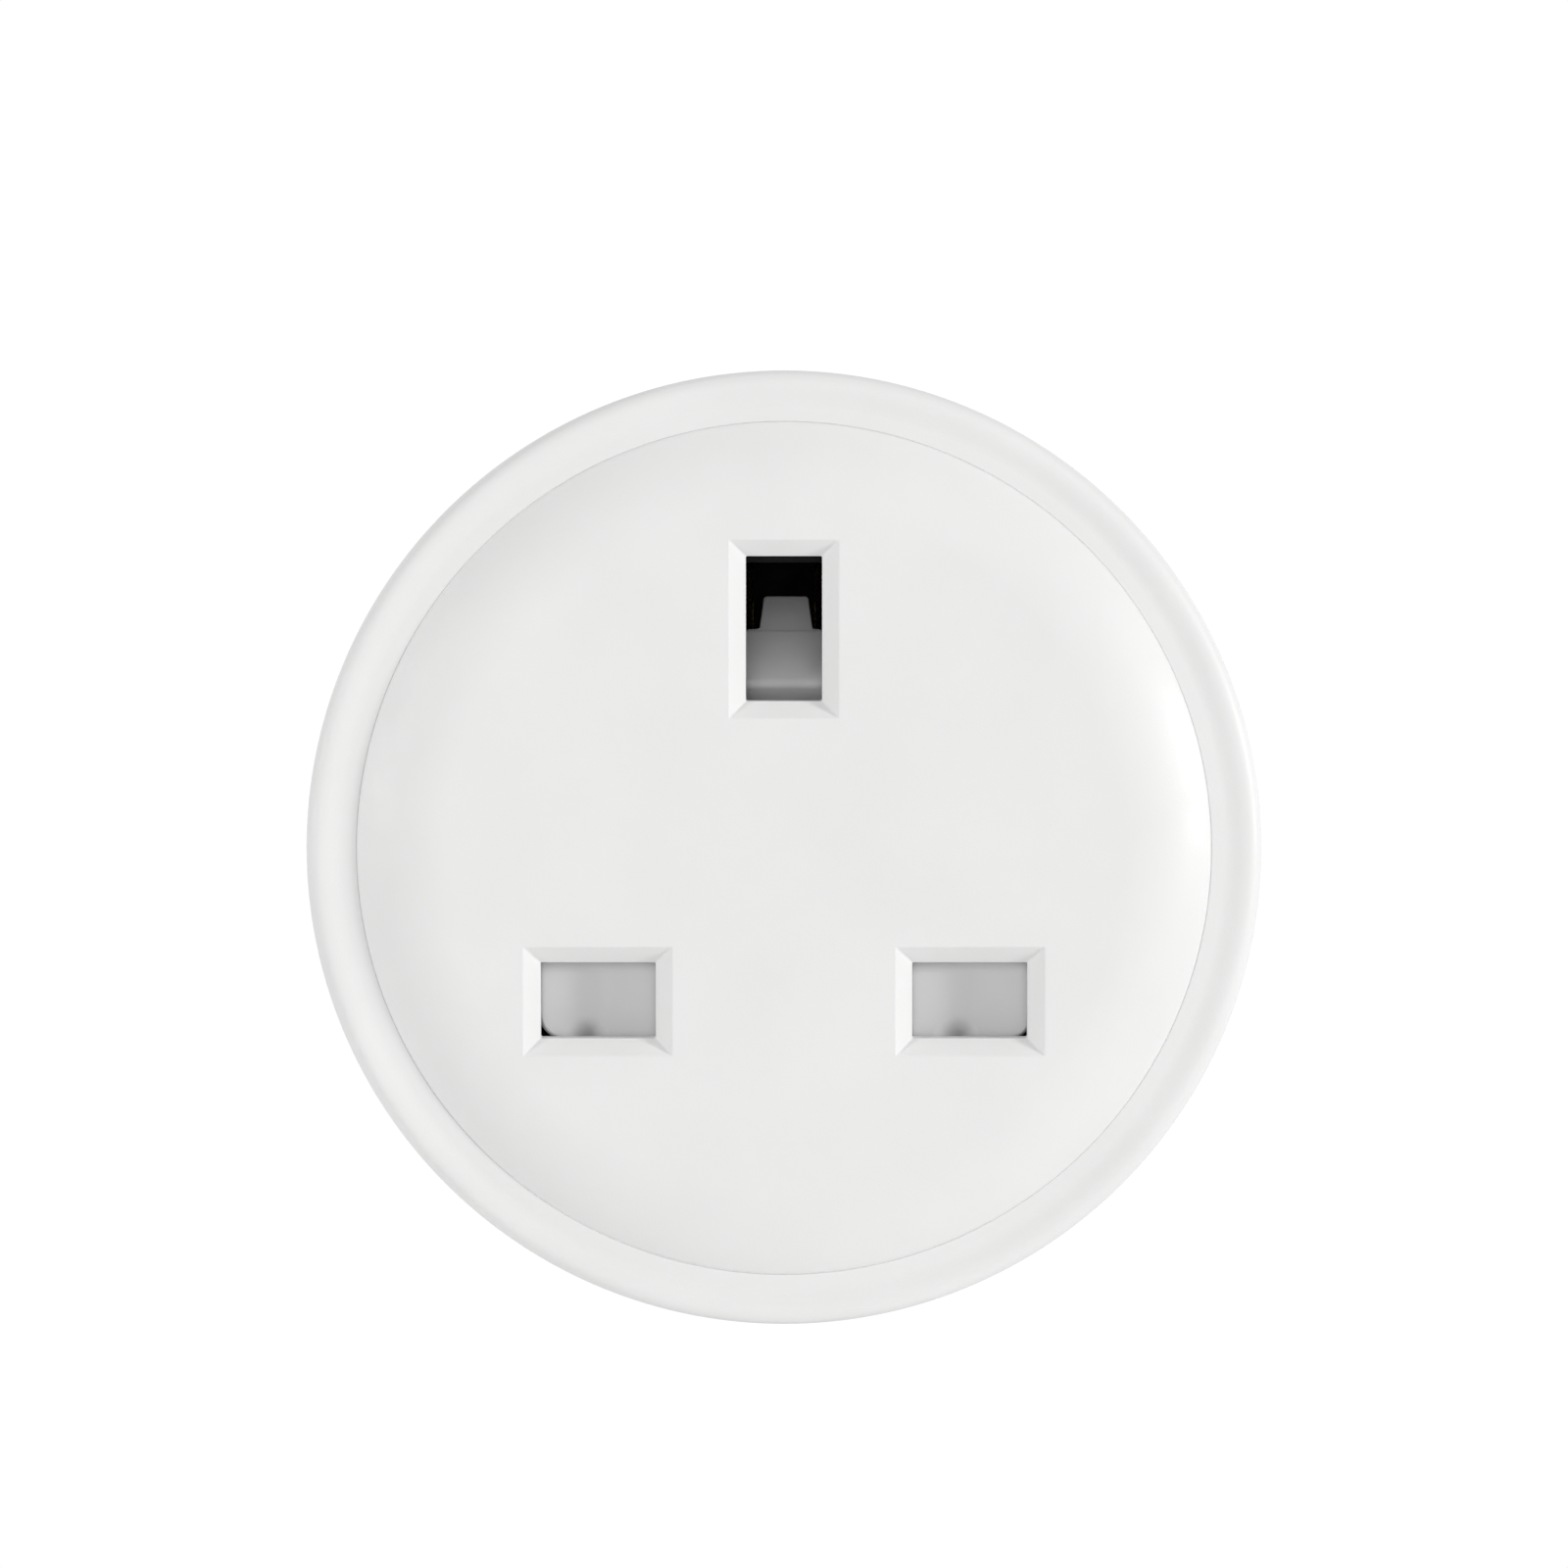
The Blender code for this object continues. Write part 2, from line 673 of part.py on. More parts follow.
def can(name, radius, height, centre, slot):
    """A radial can: a crimped foot, a straight body and a rounded top."""
    crimp_depth = 0.35
    crimp = (1.2, 1.7, 2.2)
    shoulder = 0.5
    profile = [
        (radius - crimp_depth, 0),
        (radius, crimp_depth),
        (radius, crimp[0]),
        (radius - crimp_depth, crimp[1]),
        (radius, crimp[2]),
        (radius, height - shoulder),
        (radius - shoulder, height),
    ]
    bm = bmesh.new()
    turned(bm, profile)
    piece(name, bm, slot, at=place(*centre, MOUNTED))


def filter_parts():
    can("filter_capacitor_large", 4.0, 12.0, (17.5, 4.0), "can_sleeve")
    can("filter_capacitor_small", 3.15, 11.0, (19.3, -3.6), "can_sleeve")
    drum_r = 3.0
    waist_r = 2.3
    flange = 1.2
    height = 8.0
    profile = [
        (drum_r, 0),
        (drum_r, flange),
        (waist_r, flange + GAP),
        (waist_r, height - flange - GAP),
        (drum_r, height - flange),
        (drum_r, height),
    ]
    bm = bmesh.new()
    turned(bm, profile)
    piece("filter_inductor", bm, "choke_black", at=place(9.6, 5.2, MOUNTED))


def varistor():
    """A coated disc that stands on its edge."""
    radius = 5.0
    half = 2.0
    dome = 0.7
    profile = [(radius - dome, -half), (radius, -half + dome), (radius, half - dome), (radius - dome, half)]
    bm = bmesh.new()
    turned(bm, profile)
    piece("varistor", bm, "varistor_blue", UPRIGHT, place(-11.5, 2.5, MOUNTED + radius + GAP))


def fuse_resistor():
    """An axial body along x, with its leads bent down to the main board."""
    body_r = 1.5
    cap_r = 1.7
    half = 4.0
    cap = 1.2
    height = 2.0
    lead_r = 0.35
    reach = 5.4
    profile = [(cap_r, -half), (cap_r, -half + cap), (body_r, -half + cap + GAP)]
    profile += [(radius, -level) for radius, level in reversed(profile)]
    bm = bmesh.new()
    turned(bm, profile)
    centre = place(-12.0, 9.6, MOUNTED + height)
    body = piece("fuse_resistor", bm, "resistor_green", Euler((0, math.pi / 2, 0)), centre)
    for side, name in ((-1, "fuse_lead_left"), (1, "fuse_lead_right")):
        bend = [(side * x, 0, out) for x, out in arc((reach - 1, -1), 1, 90, 0, 3)]
        bm = bmesh.new()
        tube(bm, [(side * (half - cap), 0, 0), *bend, (side * reach, 0, -height)], lead_r, 6)
        fuse(body, guide(name, bm, at=centre))


def current_shunt():
    """A bridge of resistance strip that the load's current flows through."""
    strip = 0.8
    span = 7.0
    height = 3.0
    half_width = 1.0
    foot = 1.2
    half = span / 2
    leg = half - foot
    right = [
        (leg - strip, height - strip),
        (leg - strip, 0),
        (half, 0),
        (half, strip),
        (leg, strip),
        (leg, height),
    ]
    left = [(-x, out) for x, out in reversed(right)]
    bm = bmesh.new()
    prism(bm, right + left, -half_width, half_width, along="up")
    piece("current_shunt", bm, "copper_alloy", at=place(12.0, -15.8, MOUNTED))


def chip(name, body, legs, centre):
    """A surface-mounted chip with legs on its upper and lower sides."""
    width, height, thickness = body
    leg_half = 0.2
    leg_reach = 1.0
    leg_up = 0.25
    overlap = 0.3
    bevel = 0.25
    corner = 0.15
    sections = [
        (leg_up / 2, width - bevel, height - bevel, corner),
        (thickness / 2, width, height, corner),
        (thickness, width - bevel, height - bevel, corner),
    ]
    bm = bmesh.new()
    tapered(bm, sections, steps=1)
    item = piece(name, bm, "chip_black", at=place(*centre, MOUNTED))
    pitch = width / legs
    bm = bmesh.new()
    for k in range(legs):
        x = (k - (legs - 1) / 2) * pitch
        for side in (-1, 1):
            ends = sorted((side * (height / 2 - overlap), side * (height / 2 + leg_reach)))
            block(bm, (x - leg_half, x + leg_half), ends, (0, thickness / 2))
    fuse(item, guide(f"{name}_legs", bm, at=place(*centre, MOUNTED)))


def chips():
    chip("metering_chip", (7.5, 4.0, 1.6), 5, (-11.5, -17.0))
    chip("converter_chip", (5.0, 3.9, 1.6), 4, (2.6, -14.6))


def wireless_module():
    """A small board on its edge, with a tin shield over its radio."""
    board_x = (-21.2, -20.2)
    board_up = (-4.0, 11.5)
    board_out = (MOUNTED, 27.0)
    corner = 0.5
    shield_up = (-3.0, 9.5)
    shield_out = (9.5, 20.0)
    shield_depth = 2.3
    draft = 0.25

    def outline(up, out, inset=0.0):
        size = (out[1] - out[0] - 2 * inset, up[1] - up[0] - 2 * inset)
        return rounded(*size, corner, ((out[0] + out[1]) / 2, (up[0] + up[1]) / 2))

    bm = bmesh.new()
    prism(bm, outline(board_up, board_out), *board_x, along="x")
    piece("wireless_board", bm, "board_green")
    foot = board_x[1] + GAP
    levels = ((foot, 0.0), (foot + shield_depth - draft, 0.0), (foot + shield_depth, draft))
    bm = bmesh.new()
    loft(bm, [[(x, up, out) for out, up in outline(shield_up, shield_out, inset)] for x, inset in levels])
    piece("wireless_shield", bm, "shield_tin")


def control_parts():
    """The small board under the top of the barrel, with the switch, the indicator and their header."""
    board_half = 9.0
    board_out = (MOUNTED, 26.0)
    corner = 0.8
    middle = (board_out[0] + board_out[1]) / 2
    bm = bmesh.new()
    outline = rounded(2 * board_half, board_out[1] - board_out[0], corner, (0, middle))
    prism(bm, outline, *CONTROL_BOARD_UP, along="up")
    piece("control_board", bm, "board_green")

    top = CONTROL_BOARD_UP[1] + GAP
    switch_size = 6.0
    switch_height = 3.3
    switch_corner = 0.4
    plunger_r = 1.75
    well_r = plunger_r + GAP
    well_depth = 1.2
    past = 1.0
    bm = bmesh.new()
    prism(bm, rounded(switch_size, switch_size, switch_corner), 0, switch_height)
    switch = piece("tact_switch", bm, "switch_black", UPRIGHT, place(0, top, BUTTON_OUT))
    bm = bmesh.new()
    turned(bm, [(well_r, switch_height - well_depth), (well_r, switch_height + past)])
    cut(switch, guide("switch_well", bm, UPRIGHT, place(0, top, BUTTON_OUT)))

    plunger = (-0.3, 0.7)
    rounding = 0.2
    profile = [
        (plunger_r, plunger[0]),
        (plunger_r, plunger[1] - rounding),
        (plunger_r - rounding, plunger[1]),
    ]
    bm = bmesh.new()
    turned(bm, profile)
    piece("switch_plunger", bm, "switch_black", UPRIGHT, place(0, top + switch_height, BUTTON_OUT))

    led_size = (1.6, 1.0)
    led_height = 0.9
    led_corner = 0.1
    bm = bmesh.new()
    prism(bm, rounded(*led_size, led_corner, steps=1), 0, led_height)
    piece("status_led", bm, "led_white", UPRIGHT, place(0, top, LED_OUT))

    header_half = 5.0
    header_size = 2.5
    header_top = CONTROL_BOARD_UP[0] - GAP
    bm = bmesh.new()
    notch = 0.4
    cross_section = [
        (MOUNTED, header_top - header_size),
        (MOUNTED + header_size - notch, header_top - header_size),
        (MOUNTED + header_size, header_top - header_size + notch),
        (MOUNTED + header_size, header_top),
        (MOUNTED, header_top),
    ]
    prism(bm, cross_section, -header_half, header_half, along="x")
    piece("control_header", bm, "switch_black")


def light_pipe():
    flange_r = 1.9
    foot_up = 21.6
    rounding = 0.2
    flange = [level - BUTTON_TOP_UP for level in BUTTON_FLANGE_UP]
    profile = [
        (PIPE_R, foot_up - BUTTON_TOP_UP),
        (PIPE_R, flange[0]),
        (flange_r, flange[0] + STEP),
        (flange_r, flange[1]),
        (PIPE_R, flange[1] + STEP),
        (PIPE_R, -rounding),
        (PIPE_R - rounding, 0),
    ]
    bm = bmesh.new()
    turned(bm, profile)
    piece("led_light_pipe", bm, "pipe_clear", UPRIGHT, place(0, BUTTON_TOP_UP, LED_OUT))


def power_button():
    """A round key with a flange under the barrel's wall and a stem over the switch."""
    flange_r = 4.4
    stem_r = 1.5
    stem_length = 0.45
    rounding = 0.35
    flange = [level - BUTTON_TOP_UP for level in BUTTON_FLANGE_UP]
    profile = [
        (stem_r, flange[0] - stem_length),
        (stem_r, flange[0] - STEP),
        (flange_r, flange[0]),
        (flange_r, flange[1]),
        (BUTTON_R, flange[1] + STEP),
        (BUTTON_R, -rounding),
        (BUTTON_R - rounding, 0),
    ]
    bm = bmesh.new()
    turned(bm, profile, steps=24)
    piece("power_button", bm, "housing_white", UPRIGHT, place(0, BUTTON_TOP_UP, BUTTON_OUT))


def case_screws():
    """Three identical pan-head screws with a cross recess."""
    seat = SCREW_SEAT - GAP
    head_height = 2.2
    dome = 0.6
    tip = 1.2
    shank_end = 15.0
    head_end = seat - head_height
    profile = [
        (SCREW_HEAD_R - dome, head_end),
        (SCREW_HEAD_R, head_end + dome),
        (SCREW_HEAD_R, seat - STEP),
        (SCREW_R, seat),
        (SCREW_R, shank_end - tip),
        (SCREW_R / 3, shank_end),
    ]
    recess_half = (1.4, 0.3)
    recess_depth = 1.1
    recess = (head_end - 1, head_end + recess_depth)
    for side, (x, up) in SCREW_PLACES.items():
        bm = bmesh.new()
        turned(bm, profile)
        screw = piece(f"case_screw_{side}", bm, "zinc_steel", at=place(x, up, 0))
        bm = bmesh.new()
        half, thin = recess_half
        cross = [(half, -thin), (half, thin), (thin, thin)]
        outline = []
        for quarter in range(4):
            cos = math.cos(math.pi / 2 * quarter)
            sin = math.sin(math.pi / 2 * quarter)
            outline += [(a * cos - b * sin, a * sin + b * cos) for a, b in cross]
        prism(bm, outline, *recess)
        cut(screw, guide(f"screw_recess_{side}", bm, at=place(x, up, 0)))


def main():
    for item in list(bpy.data.objects):
        bpy.data.objects.remove(item, do_unlink=True)
    front_case()
    face_plate()
    rear_cover()
    shutter()
    shutter_spring()
    socket_core()
    for pole, x in POLES.items():
        pole_contact(pole, x)
    earth_contact()
    earth_strap()
    pins()
    pin_sleeves()
    main_board()
    relay()
    filter_parts()
    varistor()
    fuse_resistor()
    current_shunt()
    chips()
    wireless_module()
    control_parts()
    light_pipe()
    power_button()
    case_screws()


main()
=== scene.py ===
import json
import math

import bmesh
import bpy
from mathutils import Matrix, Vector

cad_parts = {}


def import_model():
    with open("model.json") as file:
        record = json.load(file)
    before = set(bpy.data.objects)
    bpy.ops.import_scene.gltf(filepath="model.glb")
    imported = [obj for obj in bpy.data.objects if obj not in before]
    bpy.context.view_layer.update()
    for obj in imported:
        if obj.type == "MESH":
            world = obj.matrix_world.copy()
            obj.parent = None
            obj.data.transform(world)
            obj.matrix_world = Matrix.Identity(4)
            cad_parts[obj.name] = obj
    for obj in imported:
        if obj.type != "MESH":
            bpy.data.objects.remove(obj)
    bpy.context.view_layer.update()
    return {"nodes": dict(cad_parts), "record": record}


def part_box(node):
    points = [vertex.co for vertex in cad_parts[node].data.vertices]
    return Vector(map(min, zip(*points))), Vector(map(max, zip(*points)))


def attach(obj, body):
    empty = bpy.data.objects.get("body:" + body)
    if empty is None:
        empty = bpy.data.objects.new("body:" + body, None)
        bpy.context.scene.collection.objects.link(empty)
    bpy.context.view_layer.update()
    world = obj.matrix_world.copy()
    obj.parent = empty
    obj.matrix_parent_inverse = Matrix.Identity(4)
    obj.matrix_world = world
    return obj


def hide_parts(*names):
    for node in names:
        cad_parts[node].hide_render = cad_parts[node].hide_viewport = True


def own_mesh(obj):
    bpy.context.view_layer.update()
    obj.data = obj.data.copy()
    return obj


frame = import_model()

# Pieces are drawn in millimetres in the plug's own frame, (x, up, out): out is the distance in front of the
# wall, so a point stands at (x, -out, up) in the world.
MM = 0.001


def reach(node):
    """A CAD node's lowest and highest (x, up, out), in millimetres."""
    low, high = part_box(node)
    return Vector((low.x, low.z, -high.y)) / MM, Vector((high.x, high.z, -low.y)) / MM


CASE_LOW, CASE_HIGH = reach("front_case")
PLATE_LOW, PLATE_HIGH = reach("face_plate")
COVER_HIGH = reach("rear_cover")[1]
SHUTTER_LOW, SHUTTER_HIGH = reach("shutter")
SPRING_LOW, SPRING_HIGH = reach("shutter_spring")
BUTTON_LOW, BUTTON_HIGH = reach("power_button")
PIPE_LOW, PIPE_HIGH = reach("led_light_pipe")
LINE_LOW, LINE_HIGH = reach("line_pin")
EARTH_LOW, EARTH_HIGH = reach("earth_pin")
SLEEVE_LOW, SLEEVE_HIGH = reach("line_pin_sleeve")

POLE_X = (LINE_LOW.x + LINE_HIGH.x) / 2
POLES_UP = (LINE_LOW.y + LINE_HIGH.y) / 2
EARTH_UP = (EARTH_LOW.y + EARTH_HIGH.y) / 2
RIM_R = CASE_HIGH.x
RIM_OUT = 34.5
RING_FLOOR = RIM_OUT - 0.25
SPLIT_R = COVER_HIGH.x
SPLIT_OUT = 9.0
FACE = PLATE_HIGH.z
PLATE_BACK = FACE - 2.5
DISC_R = 25.572
LIP_R = DISC_R + 0.001
CASE_INNER_R = 26.5
BUTTON_OUT = (BUTTON_LOW.z + BUTTON_HIGH.z) / 2
PIPE_OUT = (PIPE_LOW.z + PIPE_HIGH.z) / 2
SCREWS = {"left": (-13.5, 17.0), "right": (13.5, 17.0), "lower": (0.0, -22.5)}
POLE_SECTION = (6.35, 3.95)
EARTH_SECTION = (4.0, 8.0)
ROUND_STEPS = 256
SMALL_STEPS = 64


# ---------------------------------------------------------------- mesh work


def world(x, up, out):
    """A point of the plug's own frame as a point of the scene."""
    return Vector((x, -out, up)) * MM


def loft(bm, rings, closed=False):
    """Skin a row of rings with the same number of (x, up, out) points, and cap its ends or join them."""
    loops = [[bm.verts.new(world(*point)) for point in ring] for ring in rings]
    pairs = list(zip(loops, loops[1:]))
    if closed:
        pairs.append((loops[-1], loops[0]))
    else:
        bm.faces.new(loops[0][::-1])
        bm.faces.new(loops[-1])
    for first, second in pairs:
        for i in range(len(first)):
            j = (i + 1) % len(first)
            bm.faces.new((first[i], first[j], second[j], second[i]))


def arc(centre, radius, start, end, steps):
    """Points along an arc, from start to end in degrees."""
    angles = [math.radians(start + (end - start) * k / steps) for k in range(steps + 1)]
    return [(centre[0] + radius * math.cos(a), centre[1] + radius * math.sin(a)) for a in angles]


def cosine_fall(share):
    """Fall from 1 to 0 as share goes from 0 to 1, level at both ends."""
    return (1 + math.cos(math.pi * share)) / 2


def rounded(width, height, radius, centre=(0, 0), steps=4):
    """The outline of a rectangle with round corners."""
    across = width / 2 - radius
    along = height / 2 - radius
    corners = ((across, along, 0), (-across, along, 90), (-across, -along, 180), (across, -along, 270))
    points = []
    for x, y, start in corners:
        points += arc((centre[0] + x, centre[1] + y), radius, start, start + 90, steps)
    return points


def turned(bm, profile, centre=(0, 0), closed=False, steps=SMALL_STEPS, along="out"):
    """Turn a profile of (radius, height) points about an axis through centre that runs out, or up."""
    rings = []
    for radius, height in profile:
        circle = arc(centre, radius, 0, 360, steps)[:-1]
        if along == "out":
            rings.append([(a, b, height) for a, b in circle])
        else:
            rings.append([(a, height, b) for a, b in circle])
    loft(bm, rings, closed)


def inset(outline, depth):
    """An outline moved inwards by a small depth, along the bisectors of its corners."""
    moved = []
    count = len(outline)
    for k in range(count):
        before = Vector(outline[k - 1])
        here = Vector(outline[k])
        after = Vector(outline[(k + 1) % count])
        first = (here - before).normalized()
        second = (after - here).normalized()
        normal = Vector((-first.y - second.y, first.x + second.x)).normalized()
        stretch = max(normal.dot(Vector((-first.y, first.x))), 0.5)
        moved.append(here + normal * (depth / stretch))
    return [(p.x, p.y) for p in moved]


def pillow(bm, outline, low, high, edge, steps=3, place=None):
    """Extrude an anticlockwise outline from low to high, with its edges rounded. place maps (a, b, h)."""
    place = place or (lambda a, b, h: (a, b, h))
    rings = []
    for k in range(steps + 1):
        angle = math.pi / 2 * k / steps
        ring = inset(outline, edge * (1 - math.sin(angle)))
        rings.append([place(a, b, low + edge * (1 - math.cos(angle))) for a, b in ring])
    for k in range(steps, -1, -1):
        angle = math.pi / 2 * k / steps
        ring = inset(outline, edge * (1 - math.sin(angle)))
        rings.append([place(a, b, high - edge * (1 - math.cos(angle))) for a, b in ring])
    loft(bm, rings)


def tapered(bm, sections, centre=(0, 0), steps=4):
    """A bar along out whose rounded rectangle changes: sections of (out, width, height, corner radius)."""
    rings = []
    for out, width, height, radius in sections:
        rings.append([(x, up, out) for x, up in rounded(width, height, radius, centre, steps)])
    loft(bm, rings)


def mesh_object(name, bm):
    """Turn mesh work into an object, with its faces turned outwards."""
    bmesh.ops.recalc_face_normals(bm, faces=bm.faces)
    mesh = bpy.data.meshes.new(name)
    bm.to_mesh(mesh)
    bm.free()
    item = bpy.data.objects.new(name, mesh)
    bpy.context.scene.collection.objects.link(item)
    return item


def combine(item, bm, operation):
    """Cut a shape out of a piece, or join it on, and keep only the result."""
    shape = mesh_object(f"{item.name}_shape", bm)
    modifier = item.modifiers.new("Combine", "BOOLEAN")
    modifier.operation = operation
    modifier.object = shape
    modifier.solver = "EXACT"
    settle(item)
    bpy.data.objects.remove(shape, do_unlink=True)


def settle(item):
    """Turn a piece's modifiers into its mesh."""
    bpy.context.view_layer.update()
    graph = bpy.context.evaluated_depsgraph_get()
    mesh = bpy.data.meshes.new_from_object(item.evaluated_get(graph))
    item.modifiers.clear()
    item.data = mesh


def dress(item, finish, body, nodes, sharp=32):
    """Shade a piece smooth with its large faces kept flat, give it its material, and hand it to the frame."""
    item.data.shade_smooth()
    item.data.set_sharp_from_angle(angle=math.radians(sharp))
    modifier = item.modifiers.new("Flat faces", "WEIGHTED_NORMAL")
    modifier.keep_sharp = True
    modifier.weight = 60
    settle(item)
    item.data.materials.clear()
    item.data.materials.append(finish)
    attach(item, body)
    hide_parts(*nodes)
    return item


# ---------------------------------------------------------------- materials


def new_material(name, roughness=0.5, metallic=0.0):
    """A material with its nodes, its shader and the coordinates that its textures are placed by."""
    made = bpy.data.materials.new(name)
    made.use_nodes = True
    tree = made.node_tree
    shader = tree.nodes["Principled BSDF"]
    shader.inputs["Roughness"].default_value = roughness
    shader.inputs["Metallic"].default_value = metallic
    place = tree.nodes.new("ShaderNodeTexCoord")
    return made, tree, shader, place.outputs["Object"]


def noise(tree, place, size_mm, detail=3.0, stretch=None):
    """Noise whose features are about size_mm across, and longer along an axis where stretch is small."""
    if stretch:
        mapping = tree.nodes.new("ShaderNodeMapping")
        mapping.inputs["Scale"].default_value = stretch
        tree.links.new(place, mapping.inputs["Vector"])
        place = mapping.outputs["Vector"]
    texture = tree.nodes.new("ShaderNodeTexNoise")
    texture.inputs["Scale"].default_value = 1 / (size_mm * MM)
    texture.inputs["Detail"].default_value = detail
    tree.links.new(place, texture.inputs["Vector"])
    return texture.outputs["Fac"]


def spread(tree, value, low, high, start=0.3, end=0.7):
    """Map a noise value's middle range onto low to high."""
    ranged = tree.nodes.new("ShaderNodeMapRange")
    ranged.inputs["From Min"].default_value = start
    ranged.inputs["From Max"].default_value = end
    ranged.inputs["To Min"].default_value = low
    ranged.inputs["To Max"].default_value = high
    tree.links.new(value, ranged.inputs["Value"])
    return ranged.outputs["Result"]


def tint(tree, value, first, second):
    """Mix two colours by a value."""
    mix = tree.nodes.new("ShaderNodeMix")
    mix.data_type = "RGBA"
    tree.links.new(value, mix.inputs["Factor"])
    mix.inputs["A"].default_value = (*first, 1)
    mix.inputs["B"].default_value = (*second, 1)
    return mix.outputs["Result"]


def bump(tree, height, depth_mm, under=None):
    """Relief depth_mm deep, laid over the relief under it."""
    node = tree.nodes.new("ShaderNodeBump")
    node.inputs["Distance"].default_value = depth_mm * MM
    tree.links.new(height, node.inputs["Height"])
    if under:
        tree.links.new(under, node.inputs["Normal"])
    return node.outputs["Normal"]


def moulded(name, light, dark, rough=(0.42, 0.52), grain_mm=0.16, grain_depth=0.006, flow_depth=0.012):
    """Moulded plastic: a spark-eroded grain, faint flow waves, and a little unevenness of tone and gloss."""
    made, tree, shader, place = new_material(name)
    cloud = noise(tree, place, 9.0)
    tree.links.new(tint(tree, spread(tree, cloud, 0, 1), light, dark), shader.inputs["Base Color"])
    patch = noise(tree, place, 2.5, 4)
    tree.links.new(spread(tree, patch, *rough), shader.inputs["Roughness"])
    waves = bump(tree, noise(tree, place, 5.0, 1), flow_depth)
    grain = bump(tree, noise(tree, place, grain_mm, 2), grain_depth, waves)
    tree.links.new(grain, shader.inputs["Normal"])
    return made


def metal(name, light, dark, rough=(0.22, 0.34), grain=(1, 0.08, 1), grain_mm=0.12, depth=0.003):
    """Metal with drawn grain lines, and dull patches of tarnish."""
    made, tree, shader, place = new_material(name, metallic=1.0)
    cloud = noise(tree, place, 3.0, 5)
    tree.links.new(tint(tree, spread(tree, cloud, 0, 1), light, dark), shader.inputs["Base Color"])
    lines = noise(tree, place, grain_mm, 3, grain)
    tree.links.new(spread(tree, lines, *rough), shader.inputs["Roughness"])
    tree.links.new(bump(tree, lines, depth), shader.inputs["Normal"])
    return made


def circuit_board(name):
    """Green solder mask over copper tracks: broad pours and fine lines that show as a lighter green."""
    made, tree, shader, place = new_material(name)
    bricks = tree.nodes.new("ShaderNodeTexBrick")
    bricks.inputs["Scale"].default_value = 1.0
    bricks.inputs["Brick Width"].default_value = 5.5 * MM
    bricks.inputs["Row Height"].default_value = 1.9 * MM
    bricks.inputs["Mortar Size"].default_value = 0.22 * MM
    bricks.inputs["Color1"].default_value = (0.02, 0.17, 0.07, 1)
    bricks.inputs["Color2"].default_value = (0.03, 0.21, 0.09, 1)
    bricks.inputs["Mortar"].default_value = (0.012, 0.1, 0.045, 1)
    mapping = tree.nodes.new("ShaderNodeMapping")
    mapping.inputs["Rotation"].default_value = (math.pi / 2, 0, 0)
    tree.links.new(place, mapping.inputs["Vector"])
    tree.links.new(mapping.outputs["Vector"], bricks.inputs["Vector"])
    tree.links.new(bricks.outputs["Color"], shader.inputs["Base Color"])
    tree.links.new(spread(tree, noise(tree, place, 1.5), 0.28, 0.4), shader.inputs["Roughness"])
    weave = bump(tree, noise(tree, place, 0.4, 2), 0.004)
    tree.links.new(bump(tree, bricks.outputs["Fac"], 0.03, weave), shader.inputs["Normal"])
    return made


def clear_plastic(name):
    """Clear plastic, faintly blue, with a fine unevenness that scatters the light inside."""
    made, tree, shader, place = new_material(name)
    shader.inputs["Transmission Weight"].default_value = 0.85
    shader.inputs["IOR"].default_value = 1.49
    tone = tint(tree, noise(tree, place, 1.0), (0.93, 0.95, 0.97), (0.86, 0.9, 0.93))
    tree.links.new(tone, shader.inputs["Base Color"])
    tree.links.new(spread(tree, noise(tree, place, 0.5), 0.14, 0.26), shader.inputs["Roughness"])
    tree.links.new(bump(tree, noise(tree, place, 0.2), 0.004), shader.inputs["Normal"])
    return made


